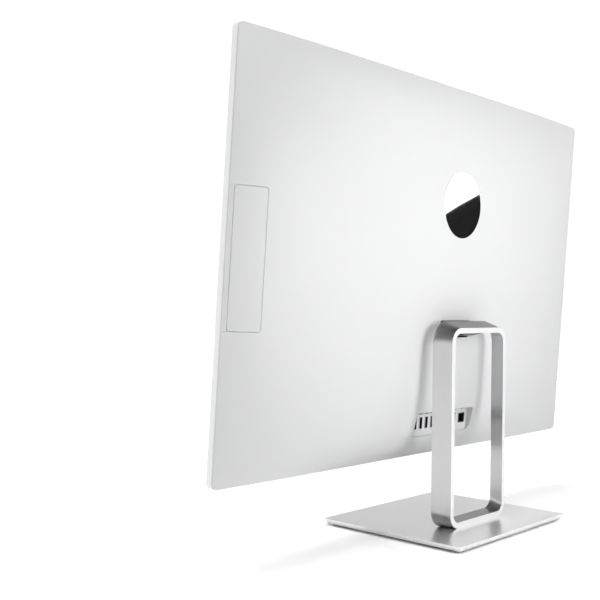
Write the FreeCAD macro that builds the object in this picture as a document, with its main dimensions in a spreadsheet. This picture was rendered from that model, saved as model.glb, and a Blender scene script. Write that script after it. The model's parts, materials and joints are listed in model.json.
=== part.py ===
import FreeCAD, Part

import math
import os

import Sketcher

from FreeCAD import Placement, Rotation, Vector

# An all-in-one desktop computer, 27 inch class, in millimetres.
# World frame: +Z up, the screen faces -Y, +X is the user's right, and the origin is
# the middle of the underside of the base.
# Head frame: X across, Y from the front face to the back, Z up the screen, with its
# origin at the middle of the front face.  The head tilts on a pin at the stand.

DOC = FreeCAD.newDocument("all_in_one_pc")
SHEET = DOC.addObject("Spreadsheet::Sheet", "Sizes")

SIZES = {
    # head outline
    "head_width": 614.6, "head_height": 400.0, "corner_radius": 6.0,
    "frame_depth": 6.5, "frame_wall": 1.9, "ledge_width": 2.1, "ledge_front": 1.6,
    # crowned rear cover
    "edge_depth": 8.1, "middle_depth": 41.6, "top_crown": 6.5, "bottom_crown": 2.3,
    "side_power": 4.0, "top_power": 4.0, "bottom_power": 9.0, "cover_wall": 2.2,
    "cover_side_wall": 1.8,
    # general clearances
    "fit_gap": 0.1, "slide_gap": 0.25, "seam_gap": 0.5,
    # display
    "screen_width": 597.9, "screen_height": 336.3, "top_bezel": 10.0,
    "bezel_setback": 0.2, "cell_thick": 1.2, "cell_overlap": 2.0,
    "backlight_thick": 4.3, "backlight_margin": 2.0, "backlight_radius": 12.0,
    "chassis_thick": 1.0, "chassis_side_inset": 19.3, "chassis_top_inset": 16.0,
    "chassis_low_inset": 46.0,
    # chin with speakers
    "grille_width": 520.0, "grille_height": 22.0, "grille_thick": 1.0,
    "grille_above_bottom": 14.0, "grille_lip": 4.0,
    "speaker_width": 150.0, "speaker_height": 34.0, "speaker_depth": 8.9,
    "speaker_from_side": 55.0, "speaker_above_bottom": 11.0, "driver_radius": 11.0,
    # input and output recess
    "recess_width": 106.2, "recess_place": 1.9, "recess_height": 25.9,
    "recess_radius": 4.0,
    "recess_above_bottom": 26.0, "recess_floor": 31.0, "panel_thick": 1.6,
    "recess_wall": 1.8, "recess_wall_reach": 3.4,
    "port_middle": 13.6, "port_nose": 0.3, "port_shoulder": 0.8, "port_shell": 0.5,
    "usb_first": 46.6, "usb_pitch": 10.0, "usb_across": 5.6, "usb_tall": 13.0,
    "power_inlet_place": 5.0, "power_inlet_radius": 3.7,
    "audio_place": -4.8, "audio_radius": 2.4, "socket_bore": 0.72, "socket_pin": 0.2,
    "hdmi_first": -14.6, "hdmi_pitch": 11.4, "hdmi_across": 5.5, "hdmi_tall": 14.6,
    "lan_place": -40.4, "lan_across": 12.6, "lan_tall": 11.4,
    # main board and what sits on it
    "board_width": 260.0, "board_height": 78.0, "board_thick": 1.6,
    "board_above_bottom": 26.5, "standoff": 3.6, "standoff_radius": 2.75,
    "cpu_size": 37.5, "cpu_thick": 2.0, "cpu_place": -80.0, "cpu_up": 52.0,
    "cold_plate_size": 58.0, "cold_plate_thick": 2.2,
    "pipe_width": 8.0, "pipe_thick": 3.0, "pipe_side": -162.0,
    "memory_width": 67.6, "memory_height": 30.0, "memory_thick": 1.2,
    "memory_place": 88.0, "memory_gap": 5.0, "socket_height": 3.2,
    "ssd_length": 80.0, "ssd_width": 22.0, "ssd_thick": 2.4, "ssd_place": 0.0,
    "card_length": 30.0, "card_width": 22.0, "card_thick": 2.2, "card_place": -26.0,
    "hdd_width": 70.0, "hdd_height": 100.0, "hdd_thick": 7.0,
    "hdd_place": 86.0, "hdd_up": 62.0,
    "antenna_length": 60.0, "antenna_height": 11.0, "antenna_thick": 0.6,
    # cooler
    "fan_size": 78.0, "fan_height": 11.0, "fan_place": -110.0, "fan_up": 126.0,
    "fan_wall": 1.4, "rotor_radius": 31.0, "hub_radius": 14.0, "blade_thick": 1.2,
    "rotor_gap": 1.0, "eye_share": 0.7, "fan_pin_radius": 1.5, "fin_height": 12.0, "fin_depth": 9.4,
    "fin_thick": 0.6,
    # optical drive
    "drive_width": 128.0, "drive_length": 126.0, "drive_thick": 9.5, "drive_skin": 0.8,
    "door_width": 30.6, "door_height": 125.8, "door_radius": 2.5, "door_from_side": 4.0,
    "tray_width": 118.0, "tray_thick": 5.0, "disc_radius": 60.4, "disc_well": 1.6,
    "spindle_radius": 7.4, "spindle_height": 2.6, "stud_floor": 0.4,
    "spindle_floor": 0.8, "spindle_lift": 0.2, "groove_depth": 0.5,
    "faceplate_wall": 2.2, "pocket_share": 0.6,
    # pop-up camera
    "camera_width": 44.0, "camera_thick": 4.2, "camera_height": 36.0,
    "camera_from_front": 9.0, "camera_rail": 4.0, "lens_radius": 3.4, "lens_drop": 9.0,
    "lens_thick": 1.0,
    # power button
    "button_width": 13.6, "button_thick": 2.8, "button_height": 6.2,
    "button_proud": 0.5, "button_from_side": 37.0, "button_from_front": 3.0,
    "switch_height": 3.0, "switch_gap": 1.2,
    # badge
    "badge_radius": 35.0, "badge_up": 71.2, "badge_thick": 1.2, "badge_proud": 0.4,
    # air slots
    "vent_pitch": 8.0, "vent_width": 3.0, "vent_share": 0.3,
    # hinge
    "axis_below_middle": 60.5, "axis_inset": 0.1, "rest_tilt": 3.82,
    "pin_radius": 3.0, "pin_clearance": 0.03, "knuckle_radius": 6.5,
    "stand_knuckle_half": 15.0, "head_knuckle_width": 8.0, "washer_thick": 1.0,
    "washer_radius": 5.5, "washer_gap": 0.05, "nut_thick": 2.4, "nut_radius": 5.2, "nut_gap": 0.1,
    "hinge_slot_half_width": 27.6, "hinge_slot_half_height": 9.0,
    "bracket_half_width": 60.0, "bracket_half_height": 30.0, "bracket_thick": 2.5,
    "hinge_cover_thick": 1.2, "hinge_cover_half_width": 27.0, "cover_edge_gap": 3.4,
    "neck_reach": 12.8, "neck_drop": 8.9, "neck_foot": 14.4, "neck_foot_thick": 1.6,
    # stand
    "ring_half_width": 52.2, "ring_height": 202.8, "ring_depth": 18.7,
    "ring_flare": 7.44, "ring_rise": 6.8, "ring_wall": 5.5, "ring_radius": 16.0,
    "ring_low_radius": 14.0, "ring_back": 40.3,
    "base_width": 205.6, "base_depth": 170.0, "base_thick": 5.0, "base_bevel": 2.6,
    "base_radius": 2.5, "pad_thick": 1.8, "pad_inset": 7.0,
    "screw_radius": 2.0, "screw_head_radius": 3.8, "screw_head_thick": 2.0,
    "screw_spread": 66.0, "screw_gap": 0.1, "thread_share": 0.7,
}

for row, (word, number) in enumerate(SIZES.items(), start=1):
    SHEET.set(f"A{row}", word)
    SHEET.set(f"B{row}", str(number))
    SHEET.setAlias(f"B{row}", word)
DOC.recompute()

NODES = []


def sheet_text(text):
    """Turn plain size words into references to the sheet."""
    words = []
    word = ""
    for letter in text + " ":
        if letter.isalnum() or letter == "_":
            word += letter
            continue
        words.append(f"Sizes.{word}" if word in SIZES else word)
        words.append(letter)
        word = ""
    return "".join(words).strip()


def value(text):
    """The number that an expression in size words comes to."""
    found = SHEET.evalExpression(sheet_text(str(text)))
    return float(getattr(found, "Value", found))


def bind(thing, prop, text):
    thing.setExpression(prop, sheet_text(str(text)))


def box(name, low, high):
    """A block between two corners, each given as three expressions."""
    block = DOC.addObject("Part::Box", name)
    for prop, start, end in zip(("Length", "Width", "Height"), low, high):
        bind(block, prop, f"({end}) - ({start})")
    for letter, start in zip("xyz", low):
        bind(block, f"Placement.Base.{letter}", start)
    return block


TURNS = {
    "x": Rotation(Vector(0, 1, 0), 90),
    "y": Rotation(Vector(1, 0, 0), -90),
    "z": Rotation(),
}


def cylinder(name, radius, start, length, along):
    """A cylinder from its start point, along x, y or z."""
    rod = DOC.addObject("Part::Cylinder", name)
    bind(rod, "Radius", radius)
    bind(rod, "Height", length)
    rod.Placement = Placement(Vector(), TURNS[along])
    for letter, place in zip("xyz", start):
        bind(rod, f"Placement.Base.{letter}", place)
    return rod


def hexagon(name, radius, start, length, along):
    """A six-sided rod from its start point, along x, y or z."""
    rod = DOC.addObject("Part::Prism", name)
    rod.Polygon = 6
    bind(rod, "Circumradius", radius)
    bind(rod, "Height", length)
    rod.Placement = Placement(Vector(), TURNS[along])
    for letter, place in zip("xyz", start):
        bind(rod, f"Placement.Base.{letter}", place)
    return rod


def fuse(name, pieces):
    joined = DOC.addObject("Part::MultiFuse", name)
    joined.Shapes = pieces
    joined.Refine = True
    return joined


def common(name, first, second):
    shared = DOC.addObject("Part::Common", name)
    shared.Base = first
    shared.Tool = second
    return shared


def cut(name, solid, tools):
    tool = tools[0] if len(tools) == 1 else fuse(name + "_tools", tools)
    result = DOC.addObject("Part::Cut", name)
    result.Base = solid
    result.Tool = tool
    return result


def group(name, pieces):
    """Several separate solids that make one node."""
    together = DOC.addObject("Part::Compound", name)
    together.Links = pieces
    return together


def plane_of(body, role):
    for item in body.Origin.OriginFeatures:
        if item.Role == role:
            return item
    raise ValueError(role)


def rounded_rectangle(sketch, left, right, low, high, radius_low, radius_high):
    """Four lines and four tangent arcs, every side and radius bound to the sheet."""
    x0, x1, y0, y1 = (value(text) for text in (left, right, low, high))
    rl, rh = value(radius_low), value(radius_high)
    corners = [
        (x1 - rl, y0 + rl, rl, -90), (x1 - rh, y1 - rh, rh, 0),
        (x0 + rh, y1 - rh, rh, 90), (x0 + rl, y0 + rl, rl, 180),
    ]
    arcs = []
    for cx, cy, radius, start in corners:
        circle = Part.Circle(Vector(cx, cy, 0), Vector(0, 0, 1), radius)
        first = math.radians(start)
        arc = Part.ArcOfCircle(circle, first, first + math.pi / 2)
        arcs.append(sketch.addGeometry(arc, False))
    lines = []
    for index, arc in enumerate(arcs):
        following = arcs[(index + 1) % 4]
        first = sketch.getPoint(arc, 2)
        second = sketch.getPoint(following, 1)
        line = sketch.addGeometry(Part.LineSegment(first, second), False)
        sketch.addConstraint(Sketcher.Constraint("Tangent", arc, 2, line, 1))
        sketch.addConstraint(Sketcher.Constraint("Tangent", line, 2, following, 1))
        kind = "Vertical" if index % 2 == 0 else "Horizontal"
        sketch.addConstraint(Sketcher.Constraint(kind, line))
        lines.append(line)
    for arc, text in zip(arcs, (radius_low, radius_high, radius_high, radius_low)):
        number = sketch.addConstraint(Sketcher.Constraint("Radius", arc, value(text)))
        bind(sketch, f"Constraints[{number}]", text)
    sides = ((lines[0], "DistanceX", right), (lines[1], "DistanceY", high),
             (lines[2], "DistanceX", left), (lines[3], "DistanceY", low))
    for line, kind, text in sides:
        number = sketch.addConstraint(
            Sketcher.Constraint(kind, -1, 1, line, 1, value(text)))
        bind(sketch, f"Constraints[{number}]", text)


def sketch_on(body, role, offset, name):
    """A sketch on one of the body's own planes, moved along that plane's normal."""
    sketch = body.newObject("Sketcher::SketchObject", name)
    sketch.AttachmentSupport = (plane_of(body, role), [""])
    sketch.MapMode = "FlatFace"
    bind(sketch, "AttachmentOffset.Base.z", offset)
    return sketch


def plate(name, left, right, low, high, front, back, radius):
    """A rounded plate upright in X and Z, from Y = front to Y = back."""
    body = DOC.addObject("PartDesign::Body", name)
    sketch = sketch_on(body, "XZ_Plane", f"-({front})", name + "_outline")
    rounded_rectangle(sketch, left, right, low, high, radius, radius)
    pad = body.newObject("PartDesign::Pad", name + "_pad")
    pad.Profile = sketch
    bind(pad, "Length", f"({back}) - ({front})")
    pad.Reversed = True
    sketch.Visibility = False
    return body


def node(label, thing, head=True):
    """Keep a finished piece under its file name, in its place in the world."""
    if head and thing.TypeId in ("Part::Box", "Part::Cylinder"):
        # a primitive's own Placement holds its bound corner, so it gets a holder
        thing.Label = label + "_form"
        thing = group(label + "_placed", [thing])
    thing.Label = label
    if head:
        thing.Placement = HEAD_PLACE
    NODES.append(thing)
    return thing


def inset_plate(name, inset, front, back, radius):
    """A rounded plate with the head's outline, drawn in by an inset."""
    side = f"head_width / 2 - ({inset})"
    end = f"head_height / 2 - ({inset})"
    return plate(name, f"-({side})", side, f"-({end})", end, front, back, radius)


# ---------------------------------------------------------------- where the head sits

RING_FRONT = "ring_back - ring_depth"
BASE_TOP = "pad_thick + base_thick"
RING_TOP_FRONT = "pad_thick + base_thick + ring_height + ring_rise"
AXIS_Y = f"({RING_FRONT}) - neck_reach"
AXIS_Z = f"({RING_TOP_FRONT}) - neck_drop"
AXIS_DEPTH = "(middle_depth - axis_inset)"

tilt = math.radians(value("rest_tilt"))
axis_depth = value(AXIS_DEPTH)
axis_height = -value("axis_below_middle")
HEAD_PLACE = Placement(
    Vector(0,
           value(AXIS_Y) - axis_height * math.sin(tilt) - axis_depth * math.cos(tilt),
           value(AXIS_Z) - axis_height * math.cos(tilt) + axis_depth * math.sin(tilt)),
    Rotation(Vector(1, 0, 0), -value("rest_tilt")))


# ---------------------------------------------------------------- rear cover surface

GRID_ACROSS = 33
GRID_UP = 29
OVERHANG = 1.03


def cover_depth(across, up):
    """Depth of the rear cover behind the front face: a crowned pillow."""
    side = min(abs(across) / (value("head_width") / 2), OVERHANG)
    end = min(abs(up) / (value("head_height") / 2), OVERHANG)
    rise = value("middle_depth") - value("edge_depth")
    crown = value("top_crown") if up > 0 else value("bottom_crown")
    power = value("top_power") if up > 0 else value("bottom_power")
    along_side = 1 - side ** value("side_power")
    along_end = rise - (rise - crown) * end ** power
    return value("edge_depth") + along_side * along_end


def crowned_block(name, offset):
    """Everything in front of the rear surface, moved back by an offset."""
    shift = value(offset)
    half_width = value("head_width") / 2 * OVERHANG
    half_height = value("head_height") / 2 * OVERHANG
    points = []
    for column in range(GRID_ACROSS):
        # grid lines crowd towards the edges, where the surface turns most
        across = half_width * math.sin(math.pi / 2 * (2 * column / (GRID_ACROSS - 1) - 1))
        line = []
        for row in range(GRID_UP):
            up = half_height * math.sin(math.pi / 2 * (2 * row / (GRID_UP - 1) - 1))
            line.append(Vector(across, cover_depth(across, up) + shift, up))
        points.append(line)
    surface = Part.BSplineSurface()
    surface.interpolate(points)
    reach = 2 * value("middle_depth")
    block = DOC.addObject("Part::Feature", name)
    block.Shape = surface.toShape().extrude(Vector(0, -reach, 0))
    return block


OUTER_FORM = crowned_block("outer_form", "0")
INNER_FORM = crowned_block("inner_form", "-cover_wall")
BADGE_SEAT_FORM = crowned_block("badge_seat_form", "badge_proud - badge_thick")
BADGE_FACE_FORM = crowned_block("badge_face_form", "badge_proud")
FAR_BACK = "middle_depth + cover_wall"

DOOR_RIGHT = "head_width / 2 - door_from_side"
DOOR_LEFT = f"({DOOR_RIGHT}) - door_width"
STRIP_HALF = "(door_height / 2 - seam_gap / 2 + fit_gap)"
RECESS_LOW = "-head_height / 2 + recess_above_bottom"
RECESS_HIGH = f"({RECESS_LOW}) + recess_height"
RECESS_LEFT = "(recess_place - recess_width / 2)"
RECESS_RIGHT = "(recess_place + recess_width / 2)"
BEZEL_BACK = "ledge_front"
CHASSIS_FRONT = "(ledge_front + cell_thick + backlight_thick)"
CHASSIS_BACK = f"({CHASSIS_FRONT} + chassis_thick)"
CHASSIS_LOW = "(-head_height / 2 + chassis_low_inset)"
SCREEN_TOP = "(head_height / 2 - top_bezel)"
SCREEN_LOW = f"({SCREEN_TOP} - screen_height)"


def door_outline(name, gap, front, back):
    """The rounded faceplate of the drive and the strip out to the side edge."""
    panel = plate(name + "_panel", f"{DOOR_LEFT} - ({gap})", f"{DOOR_RIGHT} + ({gap})",
                  f"-(door_height / 2 + ({gap}))", f"door_height / 2 + ({gap})",
                  front, back, f"door_radius + ({gap})")
    strip = box(name + "_strip",
                (f"{DOOR_RIGHT} - door_radius", front, f"-({STRIP_HALF})"),
                ("head_width / 2 + fit_gap", back, STRIP_HALF))
    return fuse(name, [panel, strip])


def backlight_space(name, front, gap):
    """The backlight tray's outline, wider all round by a gap, from a front depth."""
    half = f"screen_width / 2 + backlight_margin + {gap}"
    return plate(name, f"-({half})", half,
                 f"{SCREEN_LOW} - backlight_margin - {gap}",
                 f"{SCREEN_TOP} + backlight_margin + {gap}",
                 front, f"{CHASSIS_FRONT} + {gap}", f"backlight_radius + {gap}")


def make_rear_cover():
    """The crowned rear shell with its recess, hinge slot, drive notch and vents."""
    block = inset_plate("cover_block", "0", "frame_depth", FAR_BACK, "corner_radius")
    hollow = inset_plate("cover_hollow", "cover_side_wall", "0", FAR_BACK,
                         "corner_radius - cover_side_wall")
    shell = cut("cover_shell", common("cover_outer", block, OUTER_FORM),
                [common("cover_cavity", hollow, INNER_FORM)])
    tub_block = plate("tub_block", f"{RECESS_LEFT} - recess_wall",
                      f"{RECESS_RIGHT} + recess_wall",
                      f"{RECESS_LOW} - recess_wall", f"{RECESS_HIGH} + recess_wall",
                      "recess_floor - recess_wall_reach", FAR_BACK,
                      "recess_radius + recess_wall")
    walled = fuse("cover_walled", [shell, common("tub", tub_block, OUTER_FORM)])
    recess = plate("recess_space", RECESS_LEFT, RECESS_RIGHT,
                   RECESS_LOW, RECESS_HIGH, "0", FAR_BACK, "recess_radius")
    notch = door_outline("door_notch", "seam_gap / 2", "0", FAR_BACK)
    slot = box("hinge_slot",
               ("-hinge_slot_half_width", f"{AXIS_DEPTH} - 2 * cover_wall",
                "-axis_below_middle - hinge_slot_half_height"),
               ("hinge_slot_half_width", FAR_BACK,
                "-axis_below_middle + hinge_slot_half_height"))
    badge_round = cylinder("badge_pocket_round", "badge_radius + fit_gap",
                           ("0", "0", "badge_up"), FAR_BACK, "y")
    badge_pocket = cut("badge_pocket", badge_round, [BADGE_SEAT_FORM])
    camera_slot = box("camera_slot",
                      ("-camera_width / 2 - slide_gap", "camera_from_front - slide_gap",
                       "head_height / 2 - 2 * cover_wall"),
                      ("camera_width / 2 + slide_gap",
                       "camera_from_front + camera_thick + slide_gap",
                       "head_height / 2 + fit_gap"))
    drive_relief = box("drive_relief",
                       (f"{DRIVE_LEFT} - fit_gap", CHASSIS_BACK,
                        "-drive_width / 2 - fit_gap"),
                       (f"{DRIVE_RIGHT} + fit_gap", f"{DRIVE_BACK} + fit_gap",
                        "drive_width / 2 + fit_gap"))
    tools = [recess, notch, slot, badge_pocket, camera_slot, drive_relief,
             backlight_space("light_relief", "0", "fit_gap")] + vent_slots()
    node("rear_cover", cut("rear_cover", walled, tools))


VENT_COUNT = 18


def vent_slots():
    """Air slots through the top wall above the cooler and through the bottom wall."""
    slots = []
    rows = (("outlet", "fan_place", "head_height / 2 - 2 * cover_wall",
             "head_height / 2 + fit_gap", "edge_depth + vent_share * top_crown"),
            ("intake", "-cpu_place", "-head_height / 2 - fit_gap",
             "-head_height / 2 + cover_side_wall + fit_gap",
             "edge_depth + vent_share * bottom_crown"))
    for title, middle, low, high, back in rows:
        for index in range(VENT_COUNT):
            step = index - (VENT_COUNT - 1) / 2
            start = f"{middle} + {step} * vent_pitch - vent_width / 2"
            slots.append(box(f"{title}_slot_{index}",
                             (start, "frame_depth + cover_side_wall / 2", low),
                             (f"{start} + vent_width", back, high)))
    return slots


def make_mid_frame():
    """The side band round the head, with an inner ledge that carries the bezel."""
    outer = inset_plate("frame_outer", "0", "0", "frame_depth", "corner_radius")
    front_space = inset_plate("frame_front_space", "frame_wall", "-fit_gap",
                              "ledge_front", "corner_radius - frame_wall")
    through = inset_plate("frame_through", "frame_wall + ledge_width", "-fit_gap",
                          "frame_depth + fit_gap",
                          "corner_radius - frame_wall - ledge_width")
    button_hole = box("frame_button_hole",
                      ("head_width / 2 - button_from_side - button_width / 2 - slide_gap",
                       "button_from_front - slide_gap", "-head_height / 2 - fit_gap"),
                      ("head_width / 2 - button_from_side + button_width / 2 + slide_gap",
                       "button_from_front + button_thick + slide_gap",
                       "-head_height / 2 + frame_wall + ledge_width + fit_gap"))
    node("mid_frame", cut("mid_frame", outer, [front_space, through, button_hole]))


def make_front_bezel():
    """The dark front frame round the screen, with a stepped opening in the chin."""
    outer = inset_plate("bezel_outer", "frame_wall + fit_gap", "bezel_setback",
                        BEZEL_BACK, "corner_radius - frame_wall - fit_gap")
    window = box("bezel_window", ("-screen_width / 2", "-fit_gap", SCREEN_LOW),
                 ("screen_width / 2", f"{BEZEL_BACK} + fit_gap", SCREEN_TOP))
    low = "-head_height / 2 + grille_above_bottom"
    seat = plate("grille_seat", "-grille_width / 2 - fit_gap",
                 "grille_width / 2 + fit_gap", f"{low} - fit_gap",
                 f"{low} + grille_height + fit_gap", "-fit_gap",
                 "bezel_setback + grille_thick", "grille_lip / 2")
    through = box("grille_through",
                  ("-grille_width / 2 + grille_lip", "-fit_gap", f"{low} + grille_lip"),
                  ("grille_width / 2 - grille_lip", f"{BEZEL_BACK} + fit_gap",
                   f"{low} + grille_height - grille_lip"))
    node("front_bezel", cut("front_bezel", outer, [window, seat, through]))
    node("speaker_grille",
         plate("speaker_grille", "-grille_width / 2", "grille_width / 2", low,
               f"{low} + grille_height", "bezel_setback",
               "bezel_setback + grille_thick", "grille_lip / 2 - fit_gap"))


def make_display():
    """The liquid crystal cell, the backlight tray behind it and the steel chassis."""
    cell_half = "screen_width / 2 + cell_overlap"
    node("lcd_panel",
         box("lcd_panel", (f"-({cell_half})", BEZEL_BACK, f"{SCREEN_LOW} - cell_overlap"),
             (cell_half, f"{BEZEL_BACK} + cell_thick", f"{SCREEN_TOP} + cell_overlap")))
    node("backlight_unit",
         backlight_space("backlight_unit", f"{BEZEL_BACK} + cell_thick", "0"))
    sheet = plate("chassis_sheet", "-head_width / 2 + chassis_side_inset",
                  "head_width / 2 - chassis_side_inset",
                  CHASSIS_LOW,
                  "head_height / 2 - chassis_top_inset",
                  CHASSIS_FRONT, CHASSIS_BACK, "corner_radius")
    node("chassis_plate", sheet)


def make_speakers():
    """A speaker box at each end of the chin, each with a round driver at its front."""
    drivers = []
    for label, sign in (("speaker_left", -1), ("speaker_right", 1)):
        outer_end = f"{sign} * (head_width / 2 - speaker_from_side)"
        inner_end = f"{sign} * (head_width / 2 - speaker_from_side - speaker_width)"
        left, right = (inner_end, outer_end) if sign > 0 else (outer_end, inner_end)
        low = "-head_height / 2 + speaker_above_bottom"
        case = box(label + "_case", (left, BEZEL_BACK, low),
                   (right, f"{BEZEL_BACK} + speaker_depth", f"{low} + speaker_height"))
        middle = f"{sign} * (head_width / 2 - speaker_from_side - speaker_width / 2)"
        centre = (middle, BEZEL_BACK, "-head_height / 2 + grille_above_bottom"
                                      " + grille_height / 2")
        seat = cylinder(label + "_seat", "driver_radius - grille_lip / 2", centre,
                        "speaker_depth / 2", "y")
        node(label, cut(label, case, [seat]))
        drivers.append(cylinder(label + "_driver", "driver_radius - grille_lip / 2",
                                centre, "speaker_depth / 2", "y"))
    node("speaker_drivers", group("speaker_drivers", drivers))


def port_list():
    """Each port: node, number, place across, opening width and height, or radius."""
    usb = [("usb", f"usb_first - {index} * usb_pitch", "usb_across", "usb_tall")
           for index in range(4)]
    hdmi = [("hdmi", f"hdmi_first - {index} * hdmi_pitch", "hdmi_across", "hdmi_tall")
            for index in range(2)]
    return usb + hdmi + [("lan", "lan_place", "lan_across", "lan_tall")]


BOARD_BACK = f"({CHASSIS_BACK} + standoff + board_thick)"


def make_ports():
    """The panel at the bottom of the recess and the connectors that fill it."""
    panel_front = "recess_floor - panel_thick"
    panel = plate("io_panel_sheet", f"{RECESS_LEFT} + fit_gap",
                  f"{RECESS_RIGHT} - fit_gap", f"{RECESS_LOW} + fit_gap",
                  f"{RECESS_HIGH} - fit_gap", panel_front, "recess_floor",
                  "recess_radius - fit_gap")
    middle = f"{RECESS_LOW} + port_middle"
    holes = []
    shells = {"usb": [], "hdmi": [], "lan": []}
    for index, (kind, place, across, tall) in enumerate(port_list()):
        def corners(margin, front, back):
            return ((f"{place} - {across} / 2 - ({margin})", front,
                     f"{middle} - {tall} / 2 - ({margin})"),
                    (f"{place} + {across} / 2 + ({margin})", back,
                     f"{middle} + {tall} / 2 + ({margin})"))
        holes.append(box(f"port_hole_{index}",
                         *corners("fit_gap", panel_front + " - fit_gap", FAR_BACK)))
        nose = box(f"port_nose_{index}",
                   *corners("0", panel_front, "recess_floor + port_nose"))
        base = box(f"port_base_{index}",
                   *corners("port_shoulder", BOARD_BACK, panel_front))
        space = box(f"port_space_{index}",
                    *corners("-port_shell", f"{BOARD_BACK} + board_thick",
                             "recess_floor + port_nose + fit_gap"))
        shell = cut(f"port_shell_{index}", fuse(f"port_body_{index}", [nose, base]),
                    [space])
        tongue = port_tongue(index, kind, place, across, tall, middle)
        shells[kind].append(fuse(f"port_{index}", [shell, tongue]))
    for name, place, radius in (("power_inlet", "power_inlet_place",
                                 "power_inlet_radius"),
                                ("audio_jack", "audio_place", "audio_radius")):
        holes.append(cylinder(name + "_hole", f"{radius} + fit_gap",
                              (place, f"{panel_front} - fit_gap", middle), FAR_BACK, "y"))
        nose = cylinder(name + "_nose", radius, (place, BOARD_BACK, middle),
                        f"recess_floor + port_nose - {BOARD_BACK}", "y")
        shoulder = f"{radius} + port_shoulder / 2"
        base = box(name + "_base",
                   (f"{place} - ({shoulder})", BOARD_BACK, f"{middle} - ({shoulder})"),
                   (f"{place} + {shoulder}", panel_front, f"{middle} + {shoulder}"))
        bore = cylinder(name + "_bore", f"{radius} * socket_bore",
                        (place, f"{BOARD_BACK} + board_thick", middle),
                        "recess_floor", "y")
        solid = cut(name + "_shell", fuse(name + "_body", [nose, base]), [bore])
        if name == "power_inlet":
            pin = cylinder(name + "_pin", f"{radius} * socket_pin",
                           (place, f"{BOARD_BACK} + board_thick / 2", middle),
                           f"recess_floor - {BOARD_BACK} - board_thick", "y")
            solid = fuse(name + "_whole", [solid, pin])
        node(name, solid)
    node("io_panel", cut("io_panel", panel, holes))
    node("usb_ports", group("usb_ports", shells["usb"]))
    node("hdmi_ports", group("hdmi_ports", shells["hdmi"]))
    node("network_port", shells["lan"][0])


# half sizes of each socket's contact tongue, as shares of the opening
TONGUE_SHARES = {"usb": (0.18, 0.36), "hdmi": (0.14, 0.34), "lan": (0.36, 0.08)}


def port_tongue(index, kind, place, across, tall, middle):
    """The contact tongue inside one socket, rooted in the back of its shell."""
    share_across, share_tall = TONGUE_SHARES[kind]
    half_across = f"{across} * {share_across}"
    half_tall = f"{tall} * {share_tall}"
    # the network socket's contacts lie along its top wall, the others in the middle
    lift = f"{tall} / 2 - {half_tall}" if kind == "lan" else "0"
    return box(f"port_tongue_{index}",
               (f"{place} - {half_across}", f"{BOARD_BACK} + board_thick / 2",
                f"{middle} + {lift} - {half_tall}"),
               (f"{place} + {half_across}", "recess_floor - board_thick",
                f"{middle} + {lift} + {half_tall}"))


BOARD_LOW = "(-head_height / 2 + board_above_bottom)"
BOARD_HIGH = f"({BOARD_LOW} + board_height)"


def make_board():
    """The main board on its standoffs, with the pieces that plug into it."""
    node("motherboard",
         box("motherboard", ("-board_width / 2", f"{CHASSIS_BACK} + standoff", BOARD_LOW),
             ("board_width / 2", BOARD_BACK, BOARD_HIGH)))
    posts = []
    for column in (-1, 0, 1):
        for row, height in enumerate((f"{CHASSIS_LOW} + 2 * standoff_radius",
                                      f"{BOARD_HIGH} - 2 * standoff_radius")):
            posts.append(cylinder(
                f"post_{column + 1}_{row}", "standoff_radius",
                (f"{column} * (board_width / 2 - 2 * standoff_radius)", CHASSIS_BACK,
                 height), "standoff", "y"))
    node("board_standoffs", group("board_standoffs", posts))
    chip_low = f"{BOARD_LOW} + cpu_up - cpu_size / 2"
    node("processor",
         box("processor", ("cpu_place - cpu_size / 2", BOARD_BACK, chip_low),
             ("cpu_place + cpu_size / 2", f"{BOARD_BACK} + cpu_thick",
              f"{chip_low} + cpu_size")))
    memory_back = f"{BOARD_BACK} + socket_height"
    sockets = []
    modules = []
    for index in range(2):
        low = f"{BOARD_LOW} + memory_gap + {index} * (memory_height + memory_gap)"
        sockets.append(box(f"memory_socket_{index}",
                           ("memory_place - memory_width / 2", BOARD_BACK, low),
                           ("memory_place + memory_width / 2", memory_back,
                            f"{low} + memory_gap")))
        modules.append(box(f"memory_module_{index}",
                           ("memory_place - memory_width / 2", memory_back, low),
                           ("memory_place + memory_width / 2",
                            f"{memory_back} + memory_thick", f"{low} + memory_height")))
    node("memory_sockets", group("memory_sockets", sockets))
    node("memory_modules", group("memory_modules", modules))
    high = f"{BOARD_HIGH} - memory_gap"
    node("ssd_module",
         box("ssd_module",
             ("ssd_place - ssd_length / 2", BOARD_BACK, f"{high} - ssd_width"),
             ("ssd_place + ssd_length / 2", f"{BOARD_BACK} + ssd_thick", high)))
    card_high = f"{high} - ssd_width - memory_gap / 2"
    node("wireless_card",
         box("wireless_card",
             ("card_place - card_length / 2", BOARD_BACK, f"{card_high} - card_width"),
             ("card_place + card_length / 2", f"{BOARD_BACK} + card_thick", card_high)))
    node("hard_drive",
         plate("hard_drive", "hdd_place - hdd_width / 2", "hdd_place + hdd_width / 2",
               "hdd_up - hdd_height / 2", "hdd_up + hdd_height / 2",
               CHASSIS_BACK, f"{CHASSIS_BACK} + hdd_thick", "standoff_radius"))


PLATE_BACK = f"({BOARD_BACK} + cpu_thick + cold_plate_thick)"
FIN_LOW = "(fan_up + fan_size / 2 + rotor_gap)"
FIN_COUNT = 16


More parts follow.
